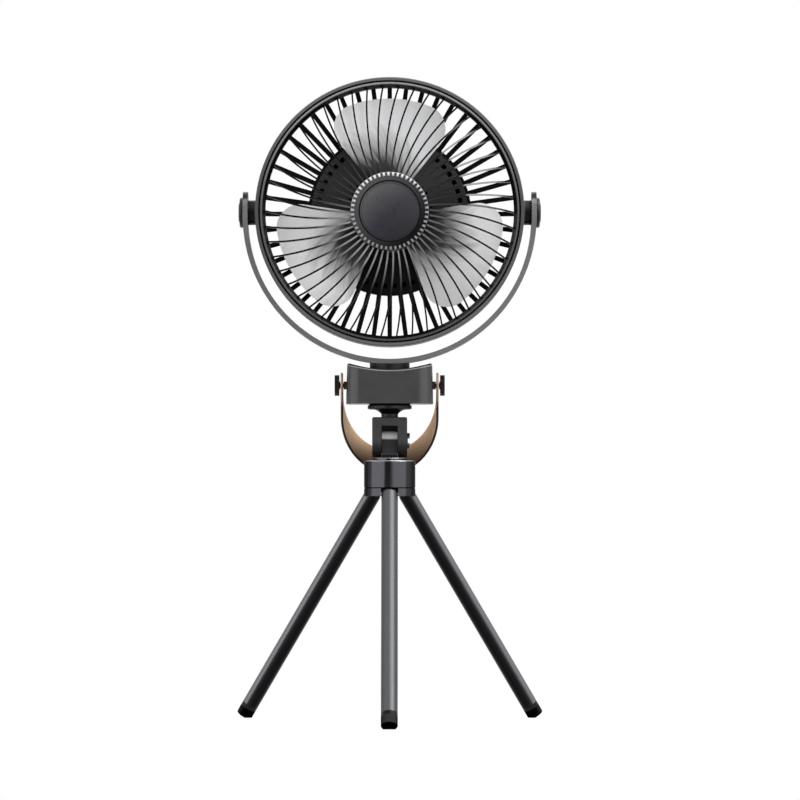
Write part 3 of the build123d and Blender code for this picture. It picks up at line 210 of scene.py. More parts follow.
# ---------------------------------------------------------------- material helpers
class Surface:
    """A Principled material whose textures follow the piece's own rest position."""

    def __init__(self, name, color, rough, metal=0.0, gloss=0.5):
        self.material = bpy.data.materials.new(name)
        self.material.use_nodes = True
        self.tree = self.material.node_tree
        self.shader = self.tree.nodes["Principled BSDF"]
        self.shader.inputs["Base Color"].default_value = (*color, 1)
        self.shader.inputs["Roughness"].default_value = rough
        self.shader.inputs["Metallic"].default_value = metal
        self.shader.inputs["Specular IOR Level"].default_value = gloss
        where = self.add("ShaderNodeTexCoord")
        self.place = where.outputs["Object"]
        self.facing = where.outputs["Normal"]

    def add(self, kind, **settings):
        node = self.tree.nodes.new(kind)
        for name, value in settings.items():
            setattr(node, name, value)
        return node

    def put(self, socket, value):
        """Links a socket, or sets a plain value."""
        if isinstance(value, bpy.types.NodeSocket):
            self.tree.links.new(value, socket)
        else:
            socket.default_value = value

    def noise(self, scale, detail=3.0, rough=0.55, place=None, bend=0.0):
        node = self.add("ShaderNodeTexNoise")
        node.inputs["Scale"].default_value = scale
        node.inputs["Detail"].default_value = detail
        node.inputs["Roughness"].default_value = rough
        node.inputs["Distortion"].default_value = bend
        self.put(node.inputs["Vector"], place or self.place)
        return node.outputs["Fac"]

    def cells(self, scale):
        node = self.add("ShaderNodeTexVoronoi")
        node.inputs["Scale"].default_value = scale
        self.put(node.inputs["Vector"], self.place)
        return node.outputs["Distance"]

    def calc(self, operation, a, b=0.0, c=0.0):
        """One step of arithmetic on sockets or numbers."""
        node = self.add("ShaderNodeMath", operation=operation)
        for socket, value in zip(node.inputs, (a, b, c)):
            self.put(socket, value)
        return node.outputs[0]

    def product(self, first, *others):
        for other in others:
            first = self.calc("MULTIPLY", first, other)
        return first

    def span(self, value, low, high, new_low, new_high, smooth=False):
        """Maps low to new_low and high to new_high, and holds the ends."""
        node = self.add("ShaderNodeMapRange")
        if smooth:
            node.interpolation_type = "SMOOTHSTEP"
        self.put(node.inputs["Value"], value)
        for name, number in (
            ("From Min", low),
            ("From Max", high),
            ("To Min", new_low),
            ("To Max", new_high),
        ):
            node.inputs[name].default_value = number
        return node.outputs["Result"]

    def band(self, value, low, high, soft):
        """1 between low and high, 0 beyond them, with soft steps on the inside."""
        rise = self.span(value, low, low + soft, 0.0, 1.0)
        fall = self.span(value, high - soft, high, 1.0, 0.0)
        return self.product(rise, fall)

    def blend(self, share, a, b):
        """Colour a where the share is 0 and b where it is 1; each is a socket or three numbers."""
        node = self.add("ShaderNodeMix", data_type="RGBA")
        self.put(node.inputs["Factor"], share)
        for socket, value in ((node.inputs[6], a), (node.inputs[7], b)):
            self.put(socket, (*value, 1) if isinstance(value, tuple) else value)
        return node.outputs[2]

    def ramp(self, value, stops):
        node = self.add("ShaderNodeValToRGB")
        elements = node.color_ramp.elements
        while len(elements) < len(stops):
            elements.new(0.5)
        for element, (position, color) in zip(elements, stops):
            element.position = position
            element.color = (*color, 1)
        self.put(node.inputs[0], value)
        return node.outputs["Color"]

    def parts(self, place=None):
        """The x, y and z of a place or a facing."""
        node = self.add("ShaderNodeSeparateXYZ")
        self.put(node.inputs[0], place or self.place)
        return node.outputs

    def upness(self):
        """1 where the surface looks straight up at rest, -1 where it looks down."""
        return self.parts(self.facing)[2]

    def join(self, x, y, z):
        node = self.add("ShaderNodeCombineXYZ")
        for socket, value in zip(node.inputs, (x, y, z)):
            self.put(socket, value)
        return node.outputs[0]

    def distance(self, direction):
        """How far the place lies along a direction of length 1."""
        node = self.add("ShaderNodeVectorMath", operation="DOT_PRODUCT")
        self.put(node.inputs[0], self.place)
        node.inputs[1].default_value = direction
        return node.outputs["Value"]

    def along(self, direction, keep):
        """The place squeezed along a direction, so that a noise runs in streaks that way."""
        way = Vector(direction).normalized()
        scaled = self.add("ShaderNodeVectorMath", operation="SCALE")
        scaled.inputs[0].default_value = way * (1 - keep)
        self.put(scaled.inputs["Scale"], self.distance(way))
        less = self.add("ShaderNodeVectorMath", operation="SUBTRACT")
        self.put(less.inputs[0], self.place)
        self.put(less.inputs[1], scaled.outputs[0])
        return less.outputs[0]

    def bump(self, height, distance, strength=1.0):
        node = self.add("ShaderNodeBump")
        node.inputs["Distance"].default_value = distance
        node.inputs["Strength"].default_value = strength
        self.put(node.inputs["Height"], height)
        before = self.shader.inputs["Normal"].links
        if before:
            self.put(node.inputs["Normal"], before[0].from_socket)
        self.put(self.shader.inputs["Normal"], node.outputs[0])

    def color(self, value):
        self.put(self.shader.inputs["Base Color"], value)

    def base_color(self):
        """The colour so far, to be blended further."""
        return self.shader.inputs["Base Color"].links[0].from_socket

    def rough(self, value):
        self.put(self.shader.inputs["Roughness"], value)


def shade(color, factor):
    """A colour made darker or lighter by a factor."""
    return tuple(min(1.0, c * factor) for c in color)


def moulded(name, color, rough, grain=0.03, mottle=0.12, gloss=0.3):
    """Moulded plastic: a spark-eroded grain, faint flow marks and handled patches."""
    s = Surface(name, color, rough, gloss=gloss)
    flow = s.noise(38, 4, 0.6, bend=0.6)
    s.color(s.blend(flow, shade(color, 1 - mottle), shade(color, 1 + mottle)))
    s.rough(s.span(s.noise(160, 5, 0.65), 0.3, 0.7, rough - 0.06, rough + 0.07))
    s.bump(s.noise(1500, 3, 0.6), grain * MM)
    return s


def coated_metal(name, color, rough, direction, metal=1.0, gloss=0.5):
    """Anodised or painted metal with fine drawn lines along one direction."""
    s = Surface(name, color, rough, metal, gloss)
    lines = s.noise(1800, 4, 0.6, s.along(direction, 0.02))
    patches = s.noise(45, 3, 0.5)
    tone = s.calc("ADD", s.product(lines, 0.6), s.product(patches, 0.4))
    s.color(s.blend(tone, shade(color, 0.9), shade(color, 1.1)))
    s.rough(s.span(lines, 0.3, 0.7, rough - 0.05, rough + 0.06))
    s.bump(lines, 0.006 * MM)
    return s


def turned_steel(name, color, rough):
    """Machined steel with a fine grain and small handling marks."""
    s = Surface(name, color, rough, 1.0)
    marks = s.noise(420, 5, 0.7)
    fine = s.noise(2600, 2, 0.5)
    s.color(s.blend(marks, shade(color, 0.8), shade(color, 1.15)))
    s.rough(s.span(marks, 0.3, 0.7, rough - 0.06, rough + 0.1))
    s.bump(fine, 0.008 * MM)
    return s


# ---------------------------------------------------------------- materials of the fan head
BLACK = (0.002, 0.002, 0.002)
INK = (0.002, 0.002, 0.0021)


def over_head_axis(s):
    """Height over the head's axis."""
    return s.calc("SUBTRACT", s.parts()[2], HEAD_Z)


def from_head_axis(s):
    """Distance from the head's axis."""
    x = s.parts()[0]
    up = over_head_axis(s)
    return s.calc("SQRT", s.calc("ADD", s.product(x, x), s.product(up, up)))


def ring_surface():
    """A grey rounded band and black bosses for the yoke's screws, with painted light: a painted
    highlight where the band looks up, painted shade below it, at its sides and in the groove, and a
    painted highlight stripe on the bosses.
    """
    s = moulded("ring_plastic", (0.088, 0.088, 0.090), 0.36, gloss=0.12)
    radius = from_head_axis(s)
    up = over_head_axis(s)
    facing_up = s.upness()
    flow = s.noise(38, 4, 0.6, bend=0.6)
    band = s.blend(flow, (0.112, 0.112, 0.114), (0.138, 0.138, 0.140))
    # Painted highlight where the band looks up, and painted shade where it looks down and at its left
    # and right.
    band = s.blend(facing_up, band, (0.240, 0.240, 0.242))
    underside = s.span(facing_up, -0.6, 0.5, 0.75, 0.0)
    band = s.blend(underside, band, (0.045, 0.045, 0.046))
    beside = s.span(s.calc("ABSOLUTE", up), 0.0, 75 * MM, 0.55, 0.0, smooth=True)
    band = s.blend(beside, band, (0.030, 0.030, 0.031))
    # Painted shade in the groove.
    groove = s.span(radius, 87.3 * MM, 87.6 * MM, 1.0, 0.0)
    band = s.blend(groove, band, INK)
    # The bosses have a painted highlight: a pale stripe a little over their middle.
    stripe_low = s.span(up, -1 * MM, 4 * MM, 0.0, 1.0, smooth=True)
    stripe_high = s.span(up, 6 * MM, 9 * MM, 1.0, 0.0)
    boss_color = s.blend(s.product(stripe_low, stripe_high), INK, (0.040, 0.040, 0.041))
    boss = s.span(radius, 90.6 * MM, 91.0 * MM, 0.0, 1.0)
    s.color(s.blend(boss, band, boss_color))
    return s


def grille_surface():
    """Black plastic for lip, groove, slope and spokes, with painted light: a grey highlight on the
    lip's crest that brightens towards the top, a silvery grey reflection painted on the spokes near
    the hub, and a highlight painted on the collar towards the upper left.
    """
    s = moulded("grille_plastic", (0.012, 0.012, 0.0125), 0.30, gloss=0.12)
    radius = from_head_axis(s)
    up = over_head_axis(s)
    x = s.parts()[0]
    # Painted reflection: the spokes near the hub are painted a silvery grey in patches, more at the
    # bottom and to the left.
    sheen_patches = s.span(s.noise(90, 3, 0.6), 0.3, 0.7, 0.8, 1.15)
    low_more = s.span(up, -12 * MM, 12 * MM, 1.0, 0.12, smooth=True)
    left_more = s.span(x, -20 * MM, 30 * MM, 1.0, 0.4)
    near_hub = s.span(radius, 30 * MM, 56 * MM, 1.0, 0.0, smooth=True)
    past_collar = s.span(radius, 26.2 * MM, 26.8 * MM, 0.0, 1.0)
    silver = s.product(near_hub, past_collar, low_more, left_more, sheen_patches)
    spokes = s.blend(silver, (0.0018, 0.0018, 0.0019), (0.26, 0.26, 0.265))
    # The spokes at the upper right catch the light between the blades.
    right_of_blade = s.span(s.calc("SUBTRACT", x, s.product(up, 0.8)), -3 * MM, 3 * MM, 0.0, 1.0)
    above_blade = s.span(up, 0.0, 8 * MM, 0.0, 1.0)
    outside_drum = s.span(radius, 51.5 * MM, 54 * MM, 0.0, 1.0)
    inside_rim = s.span(radius, 73 * MM, 80 * MM, 1.0, 0.0)
    glint = s.product(right_of_blade, above_blade, outside_drum, inside_rim)
    spokes = s.blend(glint, spokes, (0.27, 0.27, 0.272))
    # Painted highlight: the collar pales towards the upper left.
    to_upper_left = s.span(s.calc("SUBTRACT", up, x), -30 * MM, 30 * MM, 0.0, 1.0)
    collar = s.blend(to_upper_left, (0.002, 0.0019, 0.0036), (0.060, 0.060, 0.062))
    past_cap = s.span(radius, 20.6 * MM, 20.8 * MM, 0.0, 1.0)
    collar = s.blend(past_cap, BLACK, collar)
    inner = s.blend(past_collar, collar, spokes)
    # Painted highlight on the lip's crest, brightest at the top.
    lip = s.band(radius, 85.1 * MM, 86.6 * MM, 0.2 * MM)
    lip_highlight = s.ramp(
        s.span(up, -85 * MM, 85 * MM, 0.0, 1.0),
        [(0.0, (0.055, 0.055, 0.056)), (0.5, (0.080, 0.080, 0.081)), (1.0, (0.250, 0.250, 0.252))],
    )
    s.color(s.blend(lip, inner, lip_highlight))
    return s


def drum_surface():
    """Black plastic with a painted highlight that pales it towards the top of the drum."""
    s = moulded("drum_plastic", (0.012, 0.012, 0.0125), 0.50, grain=0.05, gloss=0.12)
    share = s.span(over_head_axis(s), -35 * MM, 30 * MM, 0.0, 1.0, smooth=True)
    s.color(s.blend(share, (0.001, 0.001, 0.001), (0.056, 0.056, 0.057)))
    return s


def knob_surface():
    """Black plastic with a painted highlight that pales it over the head's axis."""
    s = moulded("knob_plastic", (0.004, 0.004, 0.0042), 0.30, gloss=0.2)
    share = s.span(over_head_axis(s), -1 * MM, 6 * MM, 0.0, 1.0, smooth=True)
    s.color(s.blend(share, s.base_color(), (0.028, 0.028, 0.029)))
    return s


def block_surface():
    """Grey plastic with painted shade on its ends, and a saddle that has painted shade on its rim and
    then a painted highlight in a pale line.
    """
    s = moulded("block_plastic", (0.030, 0.030, 0.0313), 0.36, grain=0.02, mottle=0.06, gloss=0.35)
    # Painted shade where the surface faces sideways.
    sideways = s.calc("ABSOLUTE", s.parts(s.facing)[0])
    ends = s.span(sideways, 0.72, 0.92, 0.0, 1.0)
    color = s.blend(ends, s.base_color(), (0.006, 0.006, 0.006))
    radius = from_head_axis(s)
    saddle_r = min(math.hypot(v.co.x, v.co.z - HEAD_Z) for v in nodes["base_block"].data.vertices)
    rim_r = saddle_r + 1.15 * MM
    line_r = saddle_r + 1.95 * MM
    soft = 0.2 * MM
    # Painted highlight in a pale line along the saddle, and painted shade on its rim.
    color = s.blend(s.band(radius, rim_r, line_r, soft), color, (0.22, 0.22, 0.22))
    rim = s.span(radius, rim_r, rim_r + soft, 1.0, 0.0)
    s.color(s.blend(rim, color, (0.003, 0.003, 0.003)))
    return s


def clevis_surface():
    """Dark grey plastic with painted shade that turns it black near the hub."""
    s = moulded("clevis_plastic", (0.032, 0.032, 0.033), 0.38, gloss=0.25)
    share = s.span(s.parts()[2], 182.5 * MM, 188 * MM, 0.0, 1.0, smooth=True)
    s.color(s.blend(share, (0.003, 0.003, 0.003), s.base_color()))
    return s


def cap_surface():
    """A bluish black with a painted reflection that pales it to the upper left, and a fine turned
    line near its edge; the line and the rim carry painted shade.
    """
    s = Surface("cap_plastic", (0.028, 0.027, 0.034), 0.3, gloss=0.3)
    radius = from_head_axis(s)
    # Painted reflection: paler to the upper left.
    to_upper_left = s.calc("SUBTRACT", over_head_axis(s), s.parts()[0])
    light = s.span(to_upper_left, -26 * MM, 26 * MM, 0.0, 1.0)
    light = s.calc("ADD", light, s.span(s.noise(30, 2, 0.5), 0.3, 0.7, -0.06, 0.06))
    color = s.ramp(
        light,
        [(0.0, (0.003, 0.003, 0.006)), (0.5, (0.022, 0.021, 0.028)), (1.0, (0.078, 0.077, 0.080))],
    )
    # Painted shade in the turned line and at the rim.
    line = s.band(radius, 18.4 * MM, 19.0 * MM, 0.2 * MM)
    rim = s.span(radius, 19.7 * MM, 19.9 * MM, 0.0, 1.0)
    dark = s.calc("MAXIMUM", s.product(line, 0.8), rim)
    s.color(s.blend(dark, color, (0.002, 0.002, 0.0025)))
    s.rough(s.span(s.noise(220, 4), 0.3, 0.7, 0.26, 0.36))
    s.bump(line, -0.03 * MM)
    return s


def blade_surface():
    """Pale blades with painted shade: they darken in slanted streaks towards the hub, later on the
    edge that leads, and further out on their lower side.
    """
    s = Surface("blade_plastic", (0.8, 0.8, 0.81), 0.32, gloss=0.4)
    radius = from_head_axis(s)
    up = over_head_axis(s)
    angle = s.calc("ARCTAN2", s.parts()[0], up)
    on_blade = s.calc("WRAP", angle, math.pi / 3, -math.pi / 3)
    swept = s.calc("ADD", angle, s.product(radius, 9.0))
    slanted = s.join(s.product(swept, 11.0), s.product(radius, 22.0), 0.0)
    streaks = s.noise(1.0, 4, 0.65, slanted)
    fade_at = s.calc("ADD", radius, s.span(streaks, 0.25, 0.75, -8 * MM, 8 * MM))
    lead = s.span(on_blade, -0.1, 0.6, -2 * MM, 14 * MM, smooth=True)
    fade_at = s.calc("ADD", fade_at, lead)
    lower = s.span(up, -22 * MM, -2 * MM, -6.5 * MM, 0.0)
    fade_at = s.calc("ADD", fade_at, lower)
    # Painted shade from the hub (0) to the pale tip (1).
    tones = [
        (0.0, (0.004, 0.004, 0.004)),
        (0.25, (0.04, 0.04, 0.041)),
        (0.60, (0.54, 0.54, 0.545)),
        (1.0, (0.97, 0.97, 0.98)),
    ]
    s.color(s.ramp(s.span(fade_at, 25 * MM, 56 * MM, 0.0, 1.0), tones))
    s.rough(s.span(s.noise(120, 4), 0.3, 0.7, 0.26, 0.38))
    s.bump(s.noise(700, 3), 0.01 * MM)
    return s


ring_plastic = ring_surface()
grille_plastic = grille_surface()
rear_plastic = moulded("rear_plastic", (0.0020, 0.0020, 0.0021), 0.55, gloss=0.1)
drum_plastic = drum_surface()
knob_plastic = knob_surface()
block_plastic = block_surface()
clevis_plastic = clevis_surface()
platform_plastic = moulded("platform_plastic", (0.004, 0.004, 0.0042), 0.35, gloss=0.25)
swivel_plastic = moulded("swivel_plastic", (0.007, 0.007, 0.0073), 0.36, gloss=0.12)
button_plastic = moulded("button_plastic", (0.03, 0.03, 0.032), 0.3, grain=0.015)
cap_plastic = cap_surface()
blade_plastic = blade_surface()

# ---------------------------------------------------------------- metals, rubber and leather
steel = turned_steel("steel", (0.5, 0.5, 0.5), 0.25)
black_steel = turned_steel("black_steel", (0.05, 0.05, 0.053), 0.4)
dark_steel = turned_steel("dark_steel", (0.13, 0.13, 0.135), 0.3)
brass = turned_steel("brass", (0.62, 0.45, 0.2), 0.3)
magnet = turned_steel("magnet", (0.08, 0.08, 0.085), 0.5)
laminated = coated_metal("laminated", (0.3, 0.28, 0.26), 0.45, (1, 0, 0))
cell_wrap = moulded("cell_wrap", (0.03, 0.12, 0.32), 0.35, grain=0.01)
board_green = moulded("board_green", (0.02, 0.12, 0.05), 0.35, grain=0.02)
nylon = moulded("nylon", (0.55, 0.55, 0.53), 0.5)
lens = moulded("lens", (0.75, 0.8, 0.85), 0.25, grain=0.005)


def upward(s, dark, light, low, high):
    """A colour that pales where the surface looks upwards at rest: a painted highlight from the light
    above.
    """
    return s.blend(s.span(s.upness(), low, high, 0.0, 1.0, smooth=True), dark, light)


def yoke_surface():
    """Grey paint on the hoop, and black on its ends over the pivots."""
    s = coated_metal("yoke_paint", (0.145, 0.145, 0.147), 0.38, (1, 0, 0), metal=0.5, gloss=0.3)
    ends = s.span(over_head_axis(s), 7.5 * MM, 9.5 * MM, 0.0, 1.0)
    s.color(s.blend(ends, s.base_color(), (0.006, 0.006, 0.006)))
    return s


def rubber_surface():
    """Matt rubber with a painted highlight on what looks upwards and painted shade on what looks
    down.
    """
    s = Surface("rubber", (0.014, 0.014, 0.0145), 0.62, gloss=0.0)
    s.color(upward(s, (0.0015, 0.0015, 0.0016), (0.030, 0.030, 0.031), -0.1, 0.6))
    s.rough(s.span(s.noise(300, 6, 0.7), 0.3, 0.7, 0.52, 0.72))
    s.bump(s.noise(1200, 4, 0.7), 0.05 * MM)
    return s


# Painted light and shade on the tubes, from their undersides (0) to a level top (1).
SIDE_LEG_TONES = [
    (0.03, (0.002, 0.002, 0.0023)),
    (0.20, (0.007, 0.007, 0.008)),
    (0.29, (0.022, 0.022, 0.026)),
    (0.41, (0.120, 0.120, 0.127)),
    (0.48, (0.165, 0.165, 0.170)),
    (0.57, (0.120, 0.120, 0.123)),
    (0.66, (0.045, 0.045, 0.046)),
]
FRONT_LEG_TONES = [
    (0.03, (0.003, 0.003, 0.0035)),
    (0.21, (0.010, 0.010, 0.011)),
    (0.36, (0.050, 0.051, 0.058)),
    (0.55, (0.052, 0.053, 0.058)),
    (0.68, (0.094, 0.097, 0.101)),
    (0.74, (0.088, 0.091, 0.095)),
    (0.87, (0.040, 0.040, 0.042)),
]


def leg_surface(leg, tones):
    """A tube with its painted light and shade; the rubber foot's sleeve reaches a little up the tube.
    """
    top = middle(f"leg_knuckle_{leg}")
    bottom = middle(f"leg_foot_{leg}")
    s = coated_metal(
        f"leg_metal_{leg}", (0.09, 0.092, 0.096), 0.32, bottom - top, metal=0.6, gloss=0.15
    )
    tube = s.ramp(s.span(s.upness(), -0.5, 1.0, 0.0, 1.0), tones)
    line = (bottom - top).normalized()
    tube_end = max(line.dot(v.co) for v in nodes[f"leg_tube_{leg}"].data.vertices)
    sleeve = s.span(s.distance(line), tube_end - 2.9 * MM, tube_end - 2.7 * MM, 0.0, 1.0)
    s.color(s.blend(sleeve, tube, (0.010, 0.010, 0.0105)))
    return s


def hub_surface():
    """A polished drum with a painted highlight where it looks upwards; the tongue over it is bare
    plastic with its own painted highlight, so only the drum has the metal's gleam.
    """
    s = coated_metal("hub_metal", (0.034, 0.034, 0.038), 0.15, (1, 0, 0), metal=0.85, gloss=0.2)
    s.shader.inputs["Specular Tint"].default_value = (0.0, 0.0, 0.0, 1.0)
    z = s.parts()[2]
    # Painted highlight where the drum looks up.
    drum = upward(s, (0.042, 0.042, 0.047), (0.55, 0.55, 0.555), 0.10, 0.45)
    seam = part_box("tripod_hub")[0].z
    in_seam = s.band(z, seam - 0.55 * MM, seam + 0.25 * MM, 0.1 * MM)
    drum = s.blend(in_seam, drum, BLACK)
    drum_top = min(v.co.z for v in nodes["clevis"].data.vertices) + 1.5 * MM
    tongue = s.span(z, drum_top - 0.1 * MM, drum_top + 0.1 * MM, 0.0, 1.0)
    # Painted highlight where the tongue looks up.
    tongue_color = upward(s, (0.036, 0.036, 0.038), (0.55, 0.55, 0.555), 0.05, 0.35)
    s.color(s.blend(tongue, drum, tongue_color))
    s.put(s.shader.inputs["Metallic"], s.span(tongue, 0.0, 1.0, 0.85, 0.0))
    return s


def leather(name, dark, light, rough, gloss, paler=None):
    """Creased leather with pores, which may pale between two heights as painted light and shade:
    (low, high, colour).
    """
    s = Surface(name, light, rough, gloss=gloss)
    pores = s.cells(900)
    creases = s.noise(210, 6, 0.62, bend=0.8)
    tone = s.noise(34, 4, 0.6)
    mixed = s.calc("ADD", s.product(creases, 0.45), s.product(tone, 0.55))
    color = s.blend(s.span(mixed, 0.3, 0.7, 0, 1), dark, light)
    if paler:
        low, high, pale = paler
        color = s.blend(s.span(s.parts()[2], low, high, 0, 1, smooth=True), color, pale)
    s.color(color)
    s.rough(s.span(creases, 0.3, 0.7, rough - 0.08, rough + 0.1))
    s.bump(s.span(pores, 0.0, 0.6, 0.0, 1.0), 0.06 * MM, 0.8)
    s.bump(creases, 0.10 * MM, 0.7)
    return s


yoke_paint = yoke_surface()
rubber = rubber_surface()
leg_metals = {}
for leg in ("front", "left", "right"):
    leg_metals[leg] = leg_surface(leg, FRONT_LEG_TONES if leg == "front" else SIDE_LEG_TONES)
hub_metal = hub_surface()
# Painted shade darkens the inside towards the bottom of the loop, and a painted highlight pales the
# edges near the top.
INSIDE_PALER = (173 * MM, 196 * MM, (1.00, 0.69, 0.45))
EDGE_PALER = (209 * MM, 217 * MM, (0.40, 0.25, 0.16))
leather_inside = leather(
    "leather_inside", (0.08, 0.040, 0.020), (0.14, 0.075, 0.042), 0.6, 0.03, INSIDE_PALER
)
leather_outside = leather("leather_outside", (0.045, 0.018, 0.009), (0.10, 0.045, 0.022), 0.42, 0.3)
leather_edge = leather(
    "leather_edge", (0.010, 0.004, 0.002), (0.024, 0.009, 0.005), 0.42, 0.2, EDGE_PALER
)

finish = {
    "outer_ring": ring_plastic,
    "front_grille": grille_plastic,
    "rear_grille": rear_plastic,
    "front_cap": cap_plastic,
    "impeller": blade_plastic,
    "impeller_nut": black_steel,
    "rotor_cup": laminated,
    "rotor_magnet": magnet,
    "motor_shaft": steel,
    "stator": laminated,
    "bearing_front": steel,
    "bearing_rear": steel,
    "drum_shell": drum_plastic,
    "rear_cover": drum_plastic,
    "rear_cover_screws": black_steel,
    "battery_cell_upper": cell_wrap,
    "battery_cell_lower": cell_wrap,
    "control_board": board_green,
    "usb_port": steel,
    "indicator_lens": lens,
    "power_button": button_plastic,
    "speed_button": button_plastic,
    "pivot_knob_left": knob_plastic,
    "pivot_knob_right": knob_plastic,
    "pivot_screw_left": black_steel,
    "pivot_screw_right": black_steel,
    "yoke": yoke_paint,
    "swivel_disc": swivel_plastic,
    "swivel_washer": nylon,
    "swivel_bolt": black_steel,
    "swivel_nut": steel,
    "base_block": block_plastic,
    "base_cover": block_plastic,
    "base_cover_screws": black_steel,
    "threaded_insert": brass,
    "strap_screw_left": knob_plastic,
    "strap_screw_right": knob_plastic,
    "mount_stud": steel,
    "mount_platform": platform_plastic,
    "platform_pad": rubber,
    "clevis": clevis_plastic,
    "tilt_nut": black_steel,
    "tilt_screw": dark_steel,
    "tripod_hub": hub_metal,
    "leg_collar": hub_metal,
    "collar_screw": black_steel,
}
for leg in ("front", "left", "right"):
    finish[f"leg_tube_{leg}"] = leg_metals[leg]
    finish[f"leg_knuckle_{leg}"] = leg_metals[leg]
    finish[f"leg_foot_{leg}"] = rubber
    finish[f"leg_pin_{leg}"] = steel

# Small bevels catch the light on the edges of the hard pieces. Widths in millimetres.
edge_width = {
    "outer_ring": 0.2,
    "base_block": 0.5,
    "clevis": 0.25,
    "tripod_hub": 0.25,
    "leg_collar": 0.3,
    "yoke": 0.35,
    "swivel_disc": 0.3,
    "mount_platform": 0.2,
    "strap_screw_left": 0.2,
    "strap_screw_right": 0.2,
    "tilt_screw": 0.2,
    "tilt_nut": 0.2,
}
BEVEL_ANGLE = math.radians(35)
for name, surface in finish.items():
    node = nodes[name]
    node.data.materials.clear()
    node.data.materials.append(surface.material)
    if name in edge_width:
        weld = node.modifiers.new("weld", "WELD")
        weld.merge_threshold = 0.01 * MM
        bevel = node.modifiers.new("bevel", "BEVEL")
        bevel.width = edge_width[name] * MM
        bevel.segments = 2
        bevel.limit_method = "ANGLE"
        bevel.angle_limit = BEVEL_ANGLE
        even = node.modifiers.new("even_normals", "WEIGHTED_NORMAL")
        even.keep_sharp = True

# ---------------------------------------------------------------- pale ring in the collar's notches
def annulus(name, inner, outer, front, back, steps=150):
    """A flat ring round the head's axis, between two radii and from front to back."""
    mesh = bpy.data.meshes.new(name)
    form = bmesh.new()
    rows = []
    for i in range(steps):
        a = 2 * math.pi * i / steps
        rows.append(
            [
                form.verts.new((r * math.sin(a), y, HEAD_Z + r * math.cos(a)))
                for r, y in ((inner, front), (outer, front), (outer, back), (inner, back))
            ]
        )
    for a, b in zip(rows, rows[1:] + rows[:1]):
        for i in range(4):
            j = (i + 1) % 4
            form.faces.new((a[i], b[i], b[j], a[j]))
    bmesh.ops.recalc_face_normals(form, faces=form.faces)
    form.to_mesh(mesh)
    form.free()
    mesh.shade_smooth()
    ring = bpy.data.objects.new(name, mesh)
    scene.collection.objects.link(ring)
    return ring


def pale_surface():
    """Pale plastic with a painted highlight that pales it further upwards and to the left."""
    s = moulded("pale_plastic", (0.8, 0.8, 0.81), 0.35, grain=0.01)
    light = s.calc("SUBTRACT", over_head_axis(s), s.product(s.parts()[0], 0.3))
    s.color(
        s.ramp(
            s.span(light, -24 * MM, 26 * MM, 0.0, 1.0),
            [(0.0, (0.22, 0.22, 0.225)), (0.55, (0.30, 0.30, 0.305)), (1.0, (0.76, 0.76, 0.76))],
        )
    )
    return s


pale_plastic = pale_surface()
RING_INNER = 23.6 * MM
RING_OUTER = 26.0 * MM
RING_FRONT = AXIS_Y - 18.0 * MM
RING_BACK = AXIS_Y - 17.3 * MM
collar_ring = annulus("collar_ring", RING_INNER, RING_OUTER, RING_FRONT, RING_BACK)
collar_ring.data.materials.append(pale_plastic.material)
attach(collar_ring, "head")

# ---------------------------------------------------------------- leather strap
# A two-ply strip bent to a loop: dark outside and edges, tan inside.
STRAP_TILT = math.radians(39.0)
STRAP_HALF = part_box("strap")[1].x
STRAP_THICK = 1.55 * MM
TAB_R = 8.7 * MM
STRAIGHT = 18.3 * MM
BOW = 47.5 * MM
STRAP_WIDE = 12.5 * MM
TAPER = 24.0 * MM
STRAP_EDGE = 0.55 * MM
STRAP_HOLE_R = 1.7 * MM
BOW_STEPS = 72
SIDE_STEPS = 26
FLAT_STEPS = 8
EDGE_STEPS = 6

down = Vector((0, math.sin(STRAP_TILT), -math.cos(STRAP_TILT)))
across = Vector((0, -math.cos(STRAP_TILT), -math.sin(STRAP_TILT)))
strap_origin = Vector((0, AXIS_Y, STRAP_Z))


def strap_centreline():
    """Points (across, down) in the middle of the leather, each with its outward normal."""
    half = STRAP_HALF - STRAP_THICK / 2
    bow = BOW - STRAP_THICK / 2
    path = []
    for i in range(SIDE_STEPS):
        v = -TAB_R + (STRAIGHT + TAB_R) * i / SIDE_STEPS
        path.append((Vector((-half, v)), Vector((-1, 0))))
    for i in range(BOW_STEPS + 1):
        a = math.pi * i / BOW_STEPS
        point = Vector((-half * math.cos(a), STRAIGHT + bow * math.sin(a)))
        normal = Vector((-math.cos(a) / half, math.sin(a) / bow)).normalized()
        path.append((point, normal))
    for i in range(SIDE_STEPS):
        v = STRAIGHT - (STRAIGHT + TAB_R) * (i + 1) / SIDE_STEPS
        path.append((Vector((half, v)), Vector((1, 0))))
    return path


def strap_half_width(v):
    """Half the strip's width at a place so far down from the screws."""
    if v < 0:
        return math.sqrt(max(TAB_R**2 - v**2, 0.0))
    if v < TAPER:
        return TAB_R + (STRAP_WIDE - TAB_R) * v / TAPER
    return STRAP_WIDE


def strip_outline(half_width):
    """The strip's section as (across, outward) points, with flat faces and rounded edges."""
    t = STRAP_THICK / 2
    r = min(STRAP_EDGE, half_width * 0.9)
    flat = half_width - r
    points = []
    for sign in (1, -1):
        for i in range(FLAT_STEPS + 1):
            points.append((sign * (-flat + 2 * flat * i / FLAT_STEPS), sign * t))
        for i in range(1, EDGE_STEPS):
            a = sign * math.pi / 2 - math.pi * i / EDGE_STEPS
            points.append((sign * flat + r * math.cos(a), t * math.sin(a) ** 3))
    return points


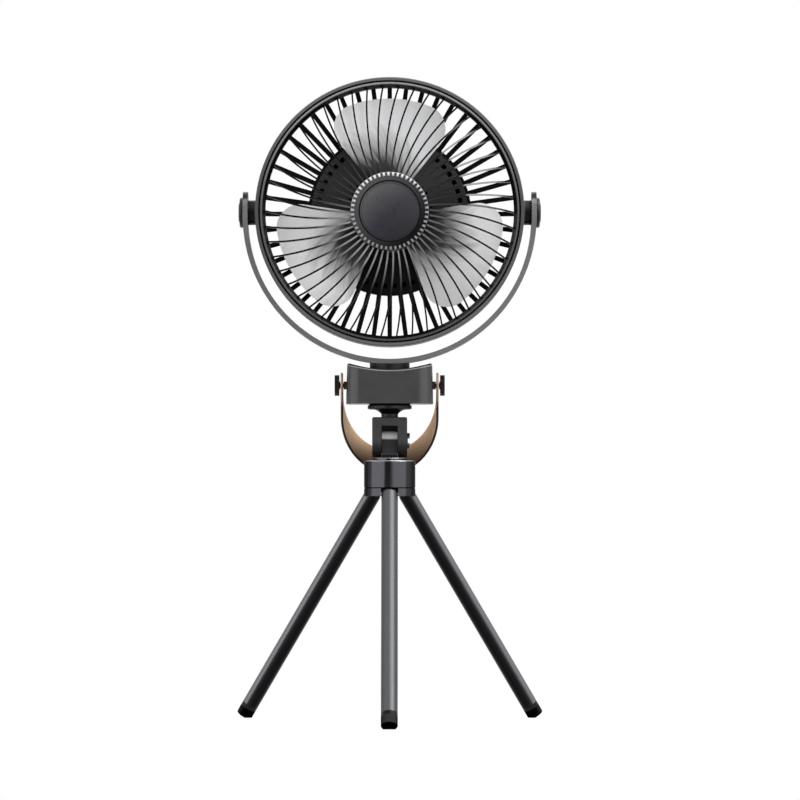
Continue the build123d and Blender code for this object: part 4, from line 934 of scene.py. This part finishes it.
INSIDE, OUTSIDE, EDGE = range(3)  # the leather's slots, in the order of its materials below
strap_mesh = bpy.data.meshes.new("leather_strap")
sheet = bmesh.new()
rows = []
for point, normal in strap_centreline():
    ring = []
    for w, t in strip_outline(strap_half_width(point.y)):
        x = point.x + normal.x * t
        v = point.y + normal.y * t
        ring.append(sheet.verts.new(strap_origin + Vector((x, 0, 0)) + down * v + across * w))
    rows.append(ring)
per_ring = len(rows[0])
for a, b in zip(rows, rows[1:]):
    for i in range(per_ring):
        j = (i + 1) % per_ring
        face = sheet.faces.new((a[i], b[i], b[j], a[j]))
        if i < FLAT_STEPS:
            face.material_index = OUTSIDE
        elif FLAT_STEPS + EDGE_STEPS <= i < 2 * FLAT_STEPS + EDGE_STEPS:
            face.material_index = INSIDE
        else:
            face.material_index = EDGE
sheet.faces.new(rows[0])
sheet.faces.new(list(reversed(rows[-1])))
bmesh.ops.remove_doubles(sheet, verts=sheet.verts, dist=1e-7)
bmesh.ops.recalc_face_normals(sheet, faces=sheet.faces)
sheet.to_mesh(strap_mesh)
sheet.free()
for material in (leather_inside, leather_outside, leather_edge):
    strap_mesh.materials.append(material.material)
strap_mesh.shade_smooth()
strap = bpy.data.objects.new("leather_strap", strap_mesh)
scene.collection.objects.link(strap)

hole_mesh = bpy.data.meshes.new("strap_hole")
hole_form = bmesh.new()
bmesh.ops.create_cone(
    hole_form,
    cap_ends=True,
    segments=32,
    radius1=STRAP_HOLE_R,
    radius2=STRAP_HOLE_R,
    depth=3 * STRAP_HALF,
    matrix=Matrix.Translation(strap_origin) @ Matrix.Rotation(math.radians(90), 4, "Y"),
)
hole_form.to_mesh(hole_mesh)
hole_form.free()
hole = bpy.data.objects.new("strap_hole", hole_mesh)
scene.collection.objects.link(hole)
cut = strap.modifiers.new("holes", "BOOLEAN")
cut.operation = "DIFFERENCE"
cut.object = hole
cut.solver = "EXACT"
bpy.context.view_layer.update()
evaluated = strap.evaluated_get(bpy.context.evaluated_depsgraph_get())
cut_mesh = bpy.data.meshes.new_from_object(evaluated)
strap.modifiers.clear()
strap.data = cut_mesh
bpy.data.objects.remove(hole)
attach(strap, "strap")
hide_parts("strap")
